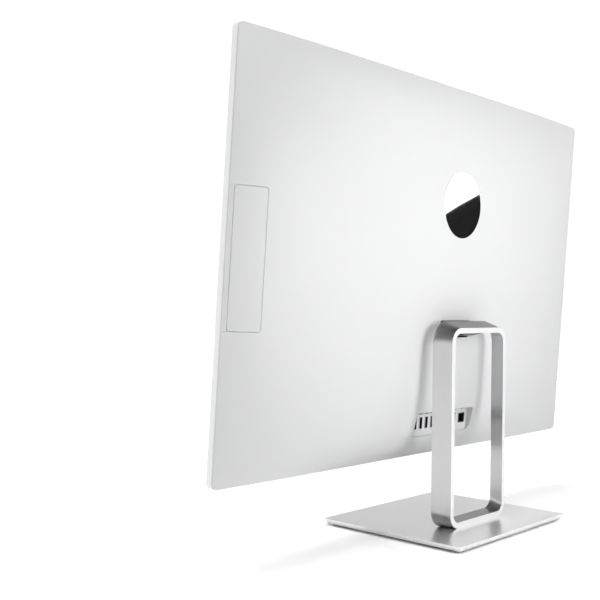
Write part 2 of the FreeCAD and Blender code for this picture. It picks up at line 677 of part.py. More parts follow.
def make_cooler():
    """Cold plate, heat pipe, fin stack and blower."""
    chip_middle = f"({BOARD_LOW} + cpu_up)"
    node("cold_plate",
         plate("cold_plate", "cpu_place - cold_plate_size / 2",
               "cpu_place + cold_plate_size / 2",
               f"{chip_middle} - cold_plate_size / 2",
               f"{chip_middle} + cold_plate_size / 2",
               f"{BOARD_BACK} + cpu_thick", PLATE_BACK, "standoff_radius"))
    pipe_back = f"{PLATE_BACK} + pipe_thick"
    across = box("pipe_low", ("pipe_side", PLATE_BACK, f"{chip_middle} - pipe_width / 2"),
                 ("cpu_place + cold_plate_size / 2", pipe_back,
                  f"{chip_middle} + pipe_width / 2"))
    upright = box("pipe_upright",
                  ("pipe_side - pipe_width / 2", PLATE_BACK,
                   f"{chip_middle} - pipe_width / 2"),
                  ("pipe_side + pipe_width / 2", pipe_back, f"{FIN_LOW} + fin_height"))
    top = box("pipe_top",
              ("pipe_side - pipe_width / 2", PLATE_BACK,
               f"{FIN_LOW} + fin_height - pipe_width"),
              ("fan_place + fan_size / 2", pipe_back, f"{FIN_LOW} + fin_height"))
    node("heat_pipe", fuse("heat_pipe", [across, upright, top]))
    fins = []
    for index in range(FIN_COUNT):
        share = index / (FIN_COUNT - 1)
        start = f"fan_place - fan_size / 2 + {share} * (fan_size - fin_thick)"
        fins.append(box(f"fin_{index}", (start, CHASSIS_BACK, FIN_LOW),
                        (f"{start} + fin_thick", PLATE_BACK,
                         f"{FIN_LOW} + fin_height")))
    strip = box("fin_strip", ("fan_place - fan_size / 2", CHASSIS_BACK, FIN_LOW),
                ("fan_place + fan_size / 2", f"{CHASSIS_BACK} + fin_thick",
                 f"{FIN_LOW} + fin_height"))
    node("fin_stack", fuse("fin_stack", fins + [strip]))
    make_fan()


BLADE_COUNT = 19


def make_fan():
    case = box("fan_case",
               ("fan_place - fan_size / 2", CHASSIS_BACK, "fan_up - fan_size / 2"),
               ("fan_place + fan_size / 2", f"{CHASSIS_BACK} + fan_height",
                "fan_up + fan_size / 2"))
    room = cylinder("fan_room", "rotor_radius + rotor_gap",
                    ("fan_place", f"{CHASSIS_BACK} + fan_wall", "fan_up"),
                    "fan_height - 2 * fan_wall", "y")
    eye = cylinder("fan_eye", "rotor_radius * eye_share",
                   ("fan_place", f"{CHASSIS_BACK} + fan_wall", "fan_up"),
                   "fan_height", "y")
    outlet = box("fan_outlet",
                 ("fan_place - rotor_radius", f"{CHASSIS_BACK} + fan_wall", "fan_up"),
                 ("fan_place + rotor_radius",
                  f"{CHASSIS_BACK} + fan_height - fan_wall",
                  "fan_up + fan_size / 2 + fit_gap"))
    shell = cut("fan_shell", case, [room, eye, outlet])
    shaft = cylinder("fan_shaft", "fan_pin_radius",
                     ("fan_place", f"{CHASSIS_BACK} + fan_wall / 2", "fan_up"),
                     "fan_height - fan_wall", "y")
    node("fan_housing", fuse("fan_housing", [shell, shaft]))
    rotor_front = f"{CHASSIS_BACK} + fan_wall + rotor_gap"
    rotor_height = "fan_height - 2 * fan_wall - 2 * rotor_gap"
    hub = cylinder("fan_hub", "hub_radius", ("fan_place", rotor_front, "fan_up"),
                   rotor_height, "y")
    blades = [hub]
    for index in range(BLADE_COUNT):
        blade = box(f"blade_{index}", ("0", "0", "0"),
                    ("rotor_radius - hub_radius + rotor_gap", rotor_height,
                     "blade_thick"))
        angle = 360 / BLADE_COUNT * index
        turn = Rotation(Vector(0, 1, 0), angle)
        start = turn.multVec(Vector(value("hub_radius - rotor_gap"), 0, 0))
        # the blade's own corner expressions give way to its place round the hub
        for letter in "xyz":
            blade.setExpression(f"Placement.Base.{letter}", None)
        blade.Placement = Placement(
            Vector(value("fan_place") + start.x, value(rotor_front),
                   value("fan_up") + start.z), turn)
        blades.append(blade)
    bore = cylinder("rotor_bore", "fan_pin_radius + pin_clearance",
                    ("fan_place", CHASSIS_BACK, "fan_up"), "2 * fan_height", "y")
    node("fan_rotor", cut("fan_rotor", fuse("rotor_solid", blades), [bore]))


DRIVE_RIGHT = f"({DOOR_LEFT} - seam_gap)"
DRIVE_LEFT = f"({DRIVE_RIGHT} - drive_length)"
DRIVE_BACK = f"({CHASSIS_BACK} + drive_thick)"
TRAY_FRONT = f"({CHASSIS_BACK} + drive_skin + (drive_thick - 2 * drive_skin"\
             " - tray_thick) / 2)"
TRAY_BACK = f"({TRAY_FRONT} + tray_thick)"
WELL_MIDDLE = f"({DRIVE_RIGHT} - drive_length / 2 + disc_well)"


def make_drive():
    """The slim drive's case, its tray with the spindle, and the tray's faceplate."""
    case = box("drive_block", (DRIVE_LEFT, CHASSIS_BACK, "-drive_width / 2"),
               (DRIVE_RIGHT, DRIVE_BACK, "drive_width / 2"))
    room = box("drive_room",
               (f"{DRIVE_LEFT} + drive_skin", f"{CHASSIS_BACK} + drive_skin",
                "-tray_width / 2 - slide_gap"),
               (f"{DRIVE_RIGHT} + fit_gap", f"{DRIVE_BACK} - drive_skin",
                "tray_width / 2 + slide_gap"))
    node("drive_case", cut("drive_case", case, [room]))
    # the tray starts one seam in from the back of the case and ends in the faceplate
    block = box("tray_block",
                (f"{DRIVE_LEFT} + drive_skin + seam_gap", TRAY_FRONT, "-tray_width / 2"),
                (f"{DOOR_LEFT} + seam_gap / 2", TRAY_BACK, "tray_width / 2"))
    well = cylinder("tray_well", "tray_width / 2 - disc_well",
                    (WELL_MIDDLE, f"{TRAY_BACK} - disc_well", "0"),
                    "tray_thick", "y")
    seat = cylinder("spindle_seat", "spindle_radius + slide_gap",
                    (WELL_MIDDLE, f"{TRAY_FRONT} + spindle_floor", "0"),
                    "tray_thick", "y")
    stud = cylinder("spindle_stud", "fan_pin_radius",
                    (WELL_MIDDLE, f"{TRAY_FRONT} + stud_floor", "0"),
                    "tray_thick - disc_well", "y")
    tray = fuse("tray_whole", [cut("tray_shell", block, [well, seat]), stud])
    node("drive_tray", tray)
    hub = cylinder("spindle_hub", "spindle_radius",
                   (WELL_MIDDLE, f"{TRAY_FRONT} + spindle_floor + spindle_lift", "0"),
                   "spindle_height", "y")
    bore = cylinder("spindle_bore", "fan_pin_radius + pin_clearance",
                    (WELL_MIDDLE, TRAY_FRONT, "0"), "tray_thick", "y")
    node("disc_spindle", cut("disc_spindle", hub, [bore]))
    make_faceplate()


def make_faceplate():
    """The wedge that closes the rear cover's notch and travels with the tray."""
    inner_front = f"{CHASSIS_BACK} + fit_gap"
    panel = plate("faceplate_panel", DOOR_LEFT + " + seam_gap / 2", DOOR_RIGHT,
                  "-(door_height / 2 - seam_gap / 2)", "door_height / 2 - seam_gap / 2",
                  inner_front, FAR_BACK, "door_radius")
    strip_half = f"{STRIP_HALF} - fit_gap"
    lip = box("faceplate_lip",
              (f"{DOOR_RIGHT} - door_radius", inner_front, f"-({strip_half})"),
              ("head_width / 2", FAR_BACK, strip_half))
    skirt = box("faceplate_skirt",
                ("head_width / 2 - cover_side_wall", "frame_depth + fit_gap",
                 f"-({strip_half})"),
                ("head_width / 2", FAR_BACK, strip_half))
    form = common("faceplate_form", fuse("faceplate_raw", [panel, lip, skirt]),
                  OUTER_FORM)
    # a shallow groove carries the seam's rounded outline across the wedge
    outside = plate("groove_outside", DOOR_LEFT, f"{DOOR_RIGHT} + seam_gap / 2",
                    "-door_height / 2", "door_height / 2", "0", FAR_BACK,
                    "door_radius + seam_gap / 2")
    inside = plate("groove_inside", DOOR_LEFT, f"{DOOR_RIGHT} - seam_gap / 2",
                   "-(door_height / 2 - seam_gap)", "door_height / 2 - seam_gap", "0",
                   FAR_BACK, "door_radius - seam_gap / 2")
    near_side = box("groove_side", (f"{DOOR_RIGHT} - door_radius", "0",
                                    "-door_height / 2 - fit_gap"),
                    ("head_width / 2", FAR_BACK, "door_height / 2 + fit_gap"))
    outline = common("groove_outline", cut("groove_ring", outside, [inside]), near_side)
    groove_form = crowned_block("groove_form", "-groove_depth")
    groove = cut("groove", outline, [groove_form])
    pocket_block = box("faceplate_pocket_block",
                       (f"{DOOR_LEFT} + seam_gap / 2 + faceplate_wall", "0",
                        "-(door_height / 2 - faceplate_wall)"),
                       (f"{DOOR_LEFT} + door_width * pocket_share", FAR_BACK,
                        "door_height / 2 - faceplate_wall"))
    pocket = common("faceplate_pocket", pocket_block, INNER_FORM)
    node("drive_faceplate", cut("drive_faceplate", form, [groove, pocket]))


def make_camera():
    """The camera that rises out of the top wall, its lens and its guide."""
    top = "head_height / 2"
    back = "camera_from_front + camera_thick"
    body = box("camera_block",
               ("-camera_width / 2", "camera_from_front", f"{top} - camera_height"),
               ("camera_width / 2", back, f"{top} - fit_gap"))
    lens_start = ("0", "camera_from_front", f"{top} - lens_drop")
    seat = cylinder("lens_seat", "lens_radius", lens_start, "lens_thick", "y")
    node("camera_module", cut("camera_module", body, [seat]))
    node("camera_lens", cylinder("camera_lens", "lens_radius", lens_start,
                                 "lens_thick", "y"))
    guide_low = f"{top} - camera_height - camera_rail"
    guide_high = f"{top} - chassis_top_inset"
    block = box("guide_block",
                ("-camera_width / 2 - camera_rail", CHASSIS_BACK, guide_low),
                ("camera_width / 2 + camera_rail", f"{back} + camera_rail / 2",
                 guide_high))
    room = box("guide_room",
               ("-camera_width / 2 - slide_gap", "camera_from_front - slide_gap",
                f"{guide_low} + camera_rail - slide_gap"),
               ("camera_width / 2 + slide_gap", f"{back} + slide_gap",
                f"{guide_high} + fit_gap"))
    node("camera_guide", cut("camera_guide", block, [room]))


def make_power_button():
    """The push button under the chin and the switch that it presses."""
    middle = "head_width / 2 - button_from_side"
    low = "-head_height / 2 - button_proud"
    node("power_button",
         box("power_button",
             (f"{middle} - button_width / 2", "button_from_front", low),
             (f"{middle} + button_width / 2", "button_from_front + button_thick",
              f"{low} + button_height")))
    start = f"{low} + button_height + switch_gap"
    node("power_switch",
         box("power_switch",
             (f"{middle} - button_width / 2", BEZEL_BACK, start),
             (f"{middle} + button_width / 2", "button_from_front + button_thick",
              f"{start} + switch_height")))


def make_badge():
    """A plain round badge let into the cover, following its curve."""
    disc = cylinder("badge_round", "badge_radius", ("0", "0", "badge_up"), FAR_BACK, "y")
    face = common("badge_face", disc, BADGE_FACE_FORM)
    node("rear_badge", cut("rear_badge", face, [BADGE_SEAT_FORM]))


def make_antennas():
    """Two wireless aerial strips on the chassis, above the drives."""
    strips = []
    outer = "head_width / 2 - chassis_side_inset - backlight_radius"
    inner = f"{outer} - antenna_length"
    top = "head_height / 2 - chassis_top_inset"
    for name, left, right in (("left", f"-({outer})", f"-({inner})"),
                              ("right", inner, outer)):
        strips.append(box(f"antenna_{name}",
                          (left, CHASSIS_BACK, f"{top} - antenna_height"),
                          (right, f"{CHASSIS_BACK} + antenna_thick", top)))
    node("wifi_antennas", group("wifi_antennas", strips))


HEAD_KNUCKLE_INNER = "(stand_knuckle_half + washer_thick)"
HEAD_KNUCKLE_OUTER = f"({HEAD_KNUCKLE_INNER} + head_knuckle_width)"


def make_head_hinge():
    """The steel bracket in the head, with two knuckles that turn on the pin."""
    back = f"({CHASSIS_BACK} + bracket_thick)"
    pieces = [plate("bracket_sheet", "-bracket_half_width", "bracket_half_width",
                    "-axis_below_middle - bracket_half_height",
                    "-axis_below_middle + bracket_half_height",
                    CHASSIS_BACK, back, "corner_radius")]
    for name, left, right in (
            ("left", f"-{HEAD_KNUCKLE_OUTER}", f"-{HEAD_KNUCKLE_INNER}"),
            ("right", HEAD_KNUCKLE_INNER, HEAD_KNUCKLE_OUTER)):
        pieces.append(box("arm_" + name,
                          (left, CHASSIS_BACK, "-axis_below_middle - knuckle_radius"),
                          (right, AXIS_DEPTH, "-axis_below_middle + knuckle_radius")))
        pieces.append(cylinder("knuckle_" + name, "knuckle_radius",
                               (left, AXIS_DEPTH, "-axis_below_middle"),
                               "head_knuckle_width", "x"))
    bore = cylinder("knuckle_bore", "pin_radius + pin_clearance",
                    ("-bracket_half_width", AXIS_DEPTH, "-axis_below_middle"),
                    "2 * bracket_half_width", "x")
    node("hinge_bracket", cut("hinge_bracket", fuse("bracket_whole", pieces), [bore]))
    screws = []
    for column in (-1, 1):
        for row in (-1, 1):
            screws.append(cylinder(
                f"bracket_screw_{column + 1}_{row + 1}", "screw_head_radius",
                (f"{column} * (bracket_half_width - 2 * screw_head_radius)", back,
                 f"-axis_below_middle + {row} * (bracket_half_height"
                 " - 2 * screw_head_radius)"), "screw_head_thick", "y"))
    node("bracket_screws", group("bracket_screws", screws))


# ---------------------------------------------------------------- stand

SCREW_LINE = "ring_back - ring_depth / 2"
SCREW_PLACES = ("-screw_spread / 2", "screw_spread / 2")
THREAD_REACH = "ring_wall * thread_share"


def make_ring():
    """The loop of the stand: a flat strip, bent round and flared towards the head."""
    tools = [ring_form("ring_inner", "ring_wall", "fit_gap")]
    for index, place in enumerate(SCREW_PLACES):
        tools.append(cylinder(f"ring_hole_{index}", "screw_radius",
                              (place, SCREW_LINE, BASE_TOP), THREAD_REACH, "z"))
    node("stand_ring", cut("stand_ring", ring_form("ring_outer", "0", "0"), tools),
         head=False)


def ring_form(name, inset, overrun):
    """One side of the loop as a loft from its back outline to its front outline."""
    body = DOC.addObject("PartDesign::Body", name)
    sketches = []
    grow = f"ring_flare / ring_depth * ({overrun})"
    lift = f"ring_rise / ring_depth * ({overrun})"
    outlines = (("back", f"ring_back + ({overrun})", f"-({grow})", f"-({lift})"),
                ("front", f"{RING_FRONT} - ({overrun})", f"ring_flare + ({grow})",
                 f"ring_rise + ({lift})"))
    for title, place, wider, higher in outlines:
        sketch = sketch_on(body, "XZ_Plane", f"-({place})", f"{name}_{title}")
        side = f"(ring_half_width + {wider} - ({inset}))"
        rounded_rectangle(sketch, f"-{side}", side, f"{BASE_TOP} + ({inset})",
                          f"{BASE_TOP} + ring_height + {higher} - ({inset})",
                          f"ring_low_radius + ({wider}) / 2 - ({inset})",
                          f"ring_radius + {wider} - ({inset})")
        sketches.append(sketch)
    loft = body.newObject("PartDesign::AdditiveLoft", name + "_loft")
    loft.Profile = sketches[0]
    loft.Sections = [sketches[1]]
    loft.Ruled = True
    return body


def make_base():
    """The flat base with undercut sides, its rubber pad and the screws to the loop."""
    body = DOC.addObject("PartDesign::Body", "base_form")
    sketches = []
    for title, height, inset in (("low", "pad_thick", "base_bevel"),
                                 ("high", BASE_TOP, "0")):
        sketch = sketch_on(body, "XY_Plane", height, "base_" + title)
        rounded_rectangle(sketch, f"-(base_width / 2 - {inset})",
                          f"base_width / 2 - {inset}", f"-(base_depth / 2 - {inset})",
                          f"base_depth / 2 - {inset}", "base_radius", "base_radius")
        sketches.append(sketch)
    loft = body.newObject("PartDesign::AdditiveLoft", "base_loft")
    loft.Profile = sketches[0]
    loft.Sections = [sketches[1]]
    loft.Ruled = True
    pad_body = DOC.addObject("PartDesign::Body", "base_pad")
    pad_sketch = sketch_on(pad_body, "XY_Plane", "0", "pad_outline")
    side = "base_width / 2 - pad_inset"
    end = "base_depth / 2 - pad_inset"
    rounded_rectangle(pad_sketch, f"-({side})", side, f"-({end})", end,
                      "base_radius", "base_radius")
    pad = pad_body.newObject("PartDesign::Pad", "pad_pad")
    pad.Profile = pad_sketch
    bind(pad, "Length", "pad_thick")
    holes = []
    screws = []
    for index, place in enumerate(SCREW_PLACES):
        holes.append(cylinder(f"base_hole_{index}", "screw_radius + screw_gap",
                              (place, SCREW_LINE, "0"), f"{BASE_TOP} + fit_gap", "z"))
        holes.append(cylinder(f"base_sink_{index}", "screw_head_radius + screw_gap",
                              (place, SCREW_LINE, "0"), "pad_thick + screw_head_thick",
                              "z"))
        head = cylinder(f"screw_head_{index}", "screw_head_radius",
                        (place, SCREW_LINE, "pad_thick"), "screw_head_thick", "z")
        shank = cylinder(f"screw_shank_{index}", "screw_radius",
                         (place, SCREW_LINE, "pad_thick"),
                         f"base_thick + {THREAD_REACH}", "z")
        screws.append(fuse(f"screw_{index}", [head, shank]))
    node("base_plate", cut("base_plate", body, holes), head=False)
    node("base_pad", pad_body, head=False)
    node("base_screws", group("base_screws", screws), head=False)


def make_neck():
    """The block that joins the loop to the hinge, its pin, washers, nuts and cover."""
    body = DOC.addObject("PartDesign::Body", "neck_block")
    sketch = sketch_on(body, "YZ_Plane", "-stand_knuckle_half", "neck_side")
    slope = "ring_rise / ring_depth"
    bar_low = f"({RING_TOP_FRONT} - ring_wall)"
    foot_end = f"({RING_FRONT} + neck_foot)"
    corners = [
        (AXIS_Y, f"{AXIS_Z} + knuckle_radius"),
        (RING_FRONT, f"{AXIS_Z} + knuckle_radius"),
        (RING_FRONT, bar_low),
        (foot_end, f"{bar_low} - {slope} * neck_foot"),
        (foot_end, f"{bar_low} - {slope} * neck_foot - neck_foot_thick"),
        (RING_FRONT, f"{AXIS_Z} - knuckle_radius"),
        (AXIS_Y, f"{AXIS_Z} - knuckle_radius"),
    ]
    points = [Vector(value(across), value(up), 0) for across, up in corners]
    for index, (point, (across, up)) in enumerate(zip(points, corners)):
        following = points[(index + 1) % len(points)]
        line = sketch.addGeometry(Part.LineSegment(point, following), False)
        if index:
            sketch.addConstraint(
                Sketcher.Constraint("Coincident", line - 1, 2, line, 1))
        for kind, text in (("DistanceX", across), ("DistanceY", up)):
            number = sketch.addConstraint(
                Sketcher.Constraint(kind, -1, 1, line, 1, value(text)))
            bind(sketch, f"Constraints[{number}]", text)
    sketch.addConstraint(
        Sketcher.Constraint("Coincident", len(points) - 1, 2, 0, 1))
    pad = body.newObject("PartDesign::Pad", "neck_pad")
    pad.Profile = sketch
    bind(pad, "Length", "2 * stand_knuckle_half")
    barrel = cylinder("neck_barrel", "knuckle_radius",
                      ("-stand_knuckle_half", AXIS_Y, AXIS_Z),
                      "2 * stand_knuckle_half", "x")
    bore = cylinder("neck_bore", "pin_radius",
                    ("-stand_knuckle_half - fit_gap", AXIS_Y, AXIS_Z),
                    "2 * stand_knuckle_half + 2 * fit_gap", "x")
    node("hinge_neck", cut("hinge_neck", fuse("neck_whole", [body, barrel]), [bore]),
         head=False)
    reach = f"{HEAD_KNUCKLE_OUTER} + nut_gap + nut_thick"
    node("hinge_pin", cylinder("hinge_pin", "pin_radius",
                               (f"-({reach})", AXIS_Y, AXIS_Z), f"2 * ({reach})", "x"),
         head=False)
    washers = []
    nuts = []
    for name, washer_start, nut_start in (
            ("left", f"-{HEAD_KNUCKLE_INNER} + washer_gap",
             f"-({reach})"),
            ("right", "stand_knuckle_half",
             f"{HEAD_KNUCKLE_OUTER} + nut_gap")):
        for title, store, shape, radius, start, length in (
                ("washer", washers, cylinder, "washer_radius", washer_start,
                 "washer_thick - washer_gap"),
                ("nut", nuts, hexagon, "nut_radius", nut_start, "nut_thick")):
            disc = shape(f"{title}_{name}_disc", radius, (start, AXIS_Y, AXIS_Z),
                         length, "x")
            hole = cylinder(f"{title}_{name}_hole", "pin_radius",
                            (f"{start} - fit_gap", AXIS_Y, AXIS_Z),
                            f"{length} + 2 * fit_gap", "x")
            store.append(cut(f"{title}_{name}", disc, [hole]))
    node("friction_washers", group("friction_washers", washers), head=False)
    node("hinge_nuts", group("hinge_nuts", nuts), head=False)
    cover_low = f"{AXIS_Z} + knuckle_radius"
    node("hinge_cover",
         box("hinge_cover",
             ("-hinge_cover_half_width", f"{AXIS_Y} + cover_edge_gap", cover_low),
             ("hinge_cover_half_width", RING_FRONT,
              f"{cover_low} + hinge_cover_thick")), head=False)


def check_and_export():
    DOC.recompute()
    for thing in DOC.Objects:
        if "Invalid" in thing.State or "Error" in thing.State:
            raise RuntimeError(f"{thing.Name} failed: {thing.State}")
    for thing in NODES:
        shape = thing.Shape
        if shape.isNull() or not shape.isValid() or not shape.Solids:
            raise RuntimeError(f"{thing.Label} has no valid solid")
    os.makedirs("parts", exist_ok=True)
    for thing in NODES:
        thing.Shape.exportStep(f"parts/{thing.Label}.step")
        print(thing.Label, len(thing.Shape.Solids), round(thing.Shape.Volume, 1))


make_mid_frame()
make_front_bezel()
make_display()
make_speakers()
make_rear_cover()
make_ports()
make_board()
make_cooler()
make_drive()
make_camera()
make_power_button()
make_badge()
make_antennas()
make_head_hinge()
make_ring()
make_base()
make_neck()
check_and_export()
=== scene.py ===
import json
import math

import bmesh
import bpy
import numpy as np
from mathutils import Matrix, Vector
from mathutils.geometry import delaunay_2d_cdt


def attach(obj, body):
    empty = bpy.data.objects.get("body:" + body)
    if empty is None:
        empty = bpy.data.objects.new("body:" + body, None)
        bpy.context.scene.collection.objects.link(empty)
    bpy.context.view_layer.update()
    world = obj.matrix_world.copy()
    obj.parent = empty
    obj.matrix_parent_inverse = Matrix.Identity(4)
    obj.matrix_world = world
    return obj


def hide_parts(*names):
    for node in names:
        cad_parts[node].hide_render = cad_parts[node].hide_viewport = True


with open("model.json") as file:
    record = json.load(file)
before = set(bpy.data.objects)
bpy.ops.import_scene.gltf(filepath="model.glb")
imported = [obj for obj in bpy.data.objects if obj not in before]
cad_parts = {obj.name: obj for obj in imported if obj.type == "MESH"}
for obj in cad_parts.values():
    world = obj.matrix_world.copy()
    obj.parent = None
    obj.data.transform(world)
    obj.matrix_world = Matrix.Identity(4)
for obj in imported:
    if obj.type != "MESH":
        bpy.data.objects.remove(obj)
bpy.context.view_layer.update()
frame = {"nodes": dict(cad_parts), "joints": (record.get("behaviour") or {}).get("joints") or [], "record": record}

NODES = frame["nodes"]
JOINTS = {joint["name"]: joint for joint in frame["joints"]}
MM = 0.001
SAME_PLACE = 0.01 * MM


# ---------------------------------------------------------------- the head's own frame

UP = Vector(JOINTS["camera_rise"]["axis"]).normalized()
BACK = Vector(JOINTS["fan_spin"]["axis"]).normalized()
ACROSS = BACK.cross(UP)
TURN = Matrix((ACROSS, BACK, UP)).transposed()


def vertices_of(node):
    """A CAD node's corner points as rows of x, y and z."""
    mesh = NODES[node].data
    flat = np.empty(len(mesh.vertices) * 3)
    mesh.vertices.foreach_get("co", flat)
    return flat.reshape(-1, 3)


def turned_box(node):
    """Lowest and highest corners of a node along the head's own axes."""
    turned = vertices_of(node) @ np.array(TURN)
    return turned.min(0), turned.max(0)


band_low, band_high = turned_box("mid_frame")
FRONT_MIDDLE = np.array([(band_low[0] + band_high[0]) / 2, band_low[1],
                         (band_low[2] + band_high[2]) / 2])
HEAD_WIDTH = band_high[0] - band_low[0]
HEAD_HEIGHT = band_high[2] - band_low[2]
HEAD = Matrix.Translation(TURN @ Vector(FRONT_MIDDLE)) @ TURN.to_4x4()


def head_box(node):
    """A node's corners across, back and up from the middle of the head's front face."""
    low, high = turned_box(node)
    return low - FRONT_MIDDLE, high - FRONT_MIDDLE


# ---------------------------------------------------------------- camera and lights

CAMERA_PLACE = Vector((0.84412, 0.55917, 0.22943))
CAMERA_YAW = math.radians(-132.58)
CAMERA_PITCH = math.radians(0.409)
CAMERA_ROLL = math.radians(0.709)
CAMERA_LENS = 55.78
CAMERA_CLIP = 0.01


def make_camera():
    """The photograph's camera, level but for a small pitch and roll."""
    forward = Vector((math.cos(CAMERA_PITCH) * math.sin(CAMERA_YAW),
                      math.cos(CAMERA_PITCH) * math.cos(CAMERA_YAW),
                      math.sin(CAMERA_PITCH)))
    right = forward.cross(Vector((0, 0, 1))).normalized()
    above = right.cross(forward)
    c, s = math.cos(CAMERA_ROLL), math.sin(CAMERA_ROLL)
    rolled_right = c * right + s * above
    rolled_above = c * above - s * right
    data = bpy.data.cameras.new("camera")
    data.lens = CAMERA_LENS
    data.clip_start = CAMERA_CLIP
    camera = bpy.data.objects.new("camera", data)
    turn = Matrix((rolled_right, rolled_above, -forward)).transposed()
    camera.matrix_world = Matrix.Translation(CAMERA_PLACE) @ turn.to_4x4()
    bpy.context.scene.collection.objects.link(camera)
    bpy.context.scene.camera = camera


def area_light(name, place, target, width, power):
    """A square lamp that the camera doesn't see."""
    data = bpy.data.lights.new(name, "AREA")
    data.shape = "SQUARE"
    data.size = width
    data.energy = power
    light = bpy.data.objects.new(name, data)
    toward = Vector(target) - Vector(place)
    light.location = place
    light.rotation_euler = toward.to_track_quat("-Z", "Y").to_euler()
    light.visible_camera = False
    bpy.context.scene.collection.objects.link(light)


# strengths of the surroundings as a light and as the camera's backdrop
AMBIENT = 0.18
BACKDROP = 1.05
# name, direction towards the light, strength, angular size in degrees
SUNS = (
    ("above", (0.1, -0.08, 1.0), 2.95, 44),
    ("front_fill", (0.3, -1.0, 0.5), 0.5, 60),
    ("side_fill", (1.0, -0.5, 0.3), 0.85, 20),
)
# name, place, target, width, watts
LAMPS = (
    ("rear_key", (0.06, 0.50, 0.29), (0.02, 0.0, 0.26), 0.25, 1.84),
    ("side_key", (-0.5, 0.55, 0.80), (0.0, 0.0, 0.2), 0.1, 0.9),
)


def sun(name, toward, strength, softness):
    """A distant soft light that leaves no glint of its own on metal."""
    data = bpy.data.lights.new(name, "SUN")
    data.energy = strength
    data.angle = math.radians(softness)
    light = bpy.data.objects.new(name, data)
    light.rotation_euler = (-Vector(toward)).to_track_quat("-Z", "Y").to_euler()
    light.visible_glossy = False
    bpy.context.scene.collection.objects.link(light)


def make_studio():
    """Grey surroundings, a white backdrop for the camera, three suns and two lamps."""
    world = bpy.data.worlds.new("studio")
    world.use_nodes = True
    tree = world.node_tree
    surroundings = tree.nodes["Background"]
    surroundings.inputs["Color"].default_value = (1, 1, 1, 1)
    surroundings.inputs["Strength"].default_value = AMBIENT
    backdrop = tree.nodes.new("ShaderNodeBackground")
    backdrop.inputs["Color"].default_value = (1, 1, 1, 1)
    backdrop.inputs["Strength"].default_value = BACKDROP
    path = tree.nodes.new("ShaderNodeLightPath")
    mix = tree.nodes.new("ShaderNodeMixShader")
    tree.links.new(path.outputs["Is Camera Ray"], mix.inputs["Fac"])
    tree.links.new(surroundings.outputs["Background"], mix.inputs[1])
    tree.links.new(backdrop.outputs["Background"], mix.inputs[2])
    tree.links.new(mix.outputs["Shader"], tree.nodes["World Output"].inputs["Surface"])
    scene = bpy.context.scene
    scene.world = world
    scene.view_settings.view_transform = "Standard"
    scene.view_settings.look = "None"
    for settings in SUNS:
        sun(*settings)
    for settings in LAMPS:
        area_light(*settings)


# ---------------------------------------------------------------- materials

# depths of surface texture in metres
FINE_GRAIN = 0.00001
MOULDED_GRAIN = 0.00002
WEAVE_DEPTH = 0.0002
GLASS_WAVE = 0.0002
# texture sizes, in features per metre
MOULDED_SCALE = 2600.0
MOULDED_BLOTCH = 14
MOULDED_GLOSS = 90
METAL_GRAIN = 1800.0
METAL_BLOTCH = 22
SOCKET_BRUSH = 1500
LOOP_BRUSH = 2400
WIPE_MARKS = 40
MIRROR_BLOTCH = 25
CLOTH_GLOSS = 300
GLASS_HAZE = 60
GLASS_SMEAR = 35
GLASS_RIPPLE = 8
FLOOR_BLOTCH = 2
FLOOR_GLOSS = 5
# strengths of surface texture
MOULDED_RELIEF = 0.35
METAL_RELIEF = 0.3
SOCKET_RELIEF = 0.2
WEAVE_RELIEF = 0.6
GLASS_RELIEF = 0.02
# tone, gloss and refraction
MOULDED_TONE = 0.03
MOULDED_CHANGE = 0.05
MOULDED_IOR = 1.47
GLOSS_CHANGE = 0.06


def new_material(name):
    """An empty principled material, with its node tree and shader."""
    material = bpy.data.materials.new(name)
    material.use_nodes = True
    tree = material.node_tree
    shader = tree.nodes["Principled BSDF"]
    return material, tree, shader


def set_inputs(shader, **values):
    """Sets plain values on a shader's own sockets, named with _ for a space."""
    for key, setting in values.items():
        socket = shader.inputs[key.replace("_", " ")]
        if isinstance(setting, tuple):
            setting = (*setting, 1.0)
        socket.default_value = setting


def noise(tree, scale, detail=4.0, roughness=0.5, stretch=None):
    """Noise in the piece's own coordinates; scale is in features per metre."""
    place = tree.nodes.new("ShaderNodeTexCoord")
    source = place.outputs["Object"]
    if stretch:
        mapping = tree.nodes.new("ShaderNodeMapping")
        mapping.inputs["Scale"].default_value = stretch
        tree.links.new(source, mapping.inputs["Vector"])
        source = mapping.outputs["Vector"]
    texture = tree.nodes.new("ShaderNodeTexNoise")
    texture.inputs["Scale"].default_value = scale
    texture.inputs["Detail"].default_value = detail
    texture.inputs["Roughness"].default_value = roughness
    tree.links.new(source, texture.inputs["Vector"])
    return texture.outputs["Fac"]


def spread(tree, factor, low, high):
    """A value that goes from low to high as the factor goes from 0 to 1."""
    ranged = tree.nodes.new("ShaderNodeMapRange")
    ranged.inputs["To Min"].default_value = low
    ranged.inputs["To Max"].default_value = high
    tree.links.new(factor, ranged.inputs["Value"])
    return ranged.outputs["Result"]


def blend_colours(tree, factor, first, second):
    """The first colour where the factor is 0 and the second where it is 1."""
    mix = tree.nodes.new("ShaderNodeMix")
    mix.data_type = "RGBA"
    mix.inputs["A"].default_value = (*first, 1)
    mix.inputs["B"].default_value = (*second, 1)
    tree.links.new(factor, mix.inputs["Factor"])
    return mix.outputs["Result"]


def add_bump(tree, shader, height, strength, distance):
    """Fine relief on the shader, distance metres deep."""
    bump = tree.nodes.new("ShaderNodeBump")
    bump.inputs["Strength"].default_value = strength
    bump.inputs["Distance"].default_value = distance
    tree.links.new(height, bump.inputs["Height"])
    tree.links.new(bump.outputs["Normal"], shader.inputs["Normal"])


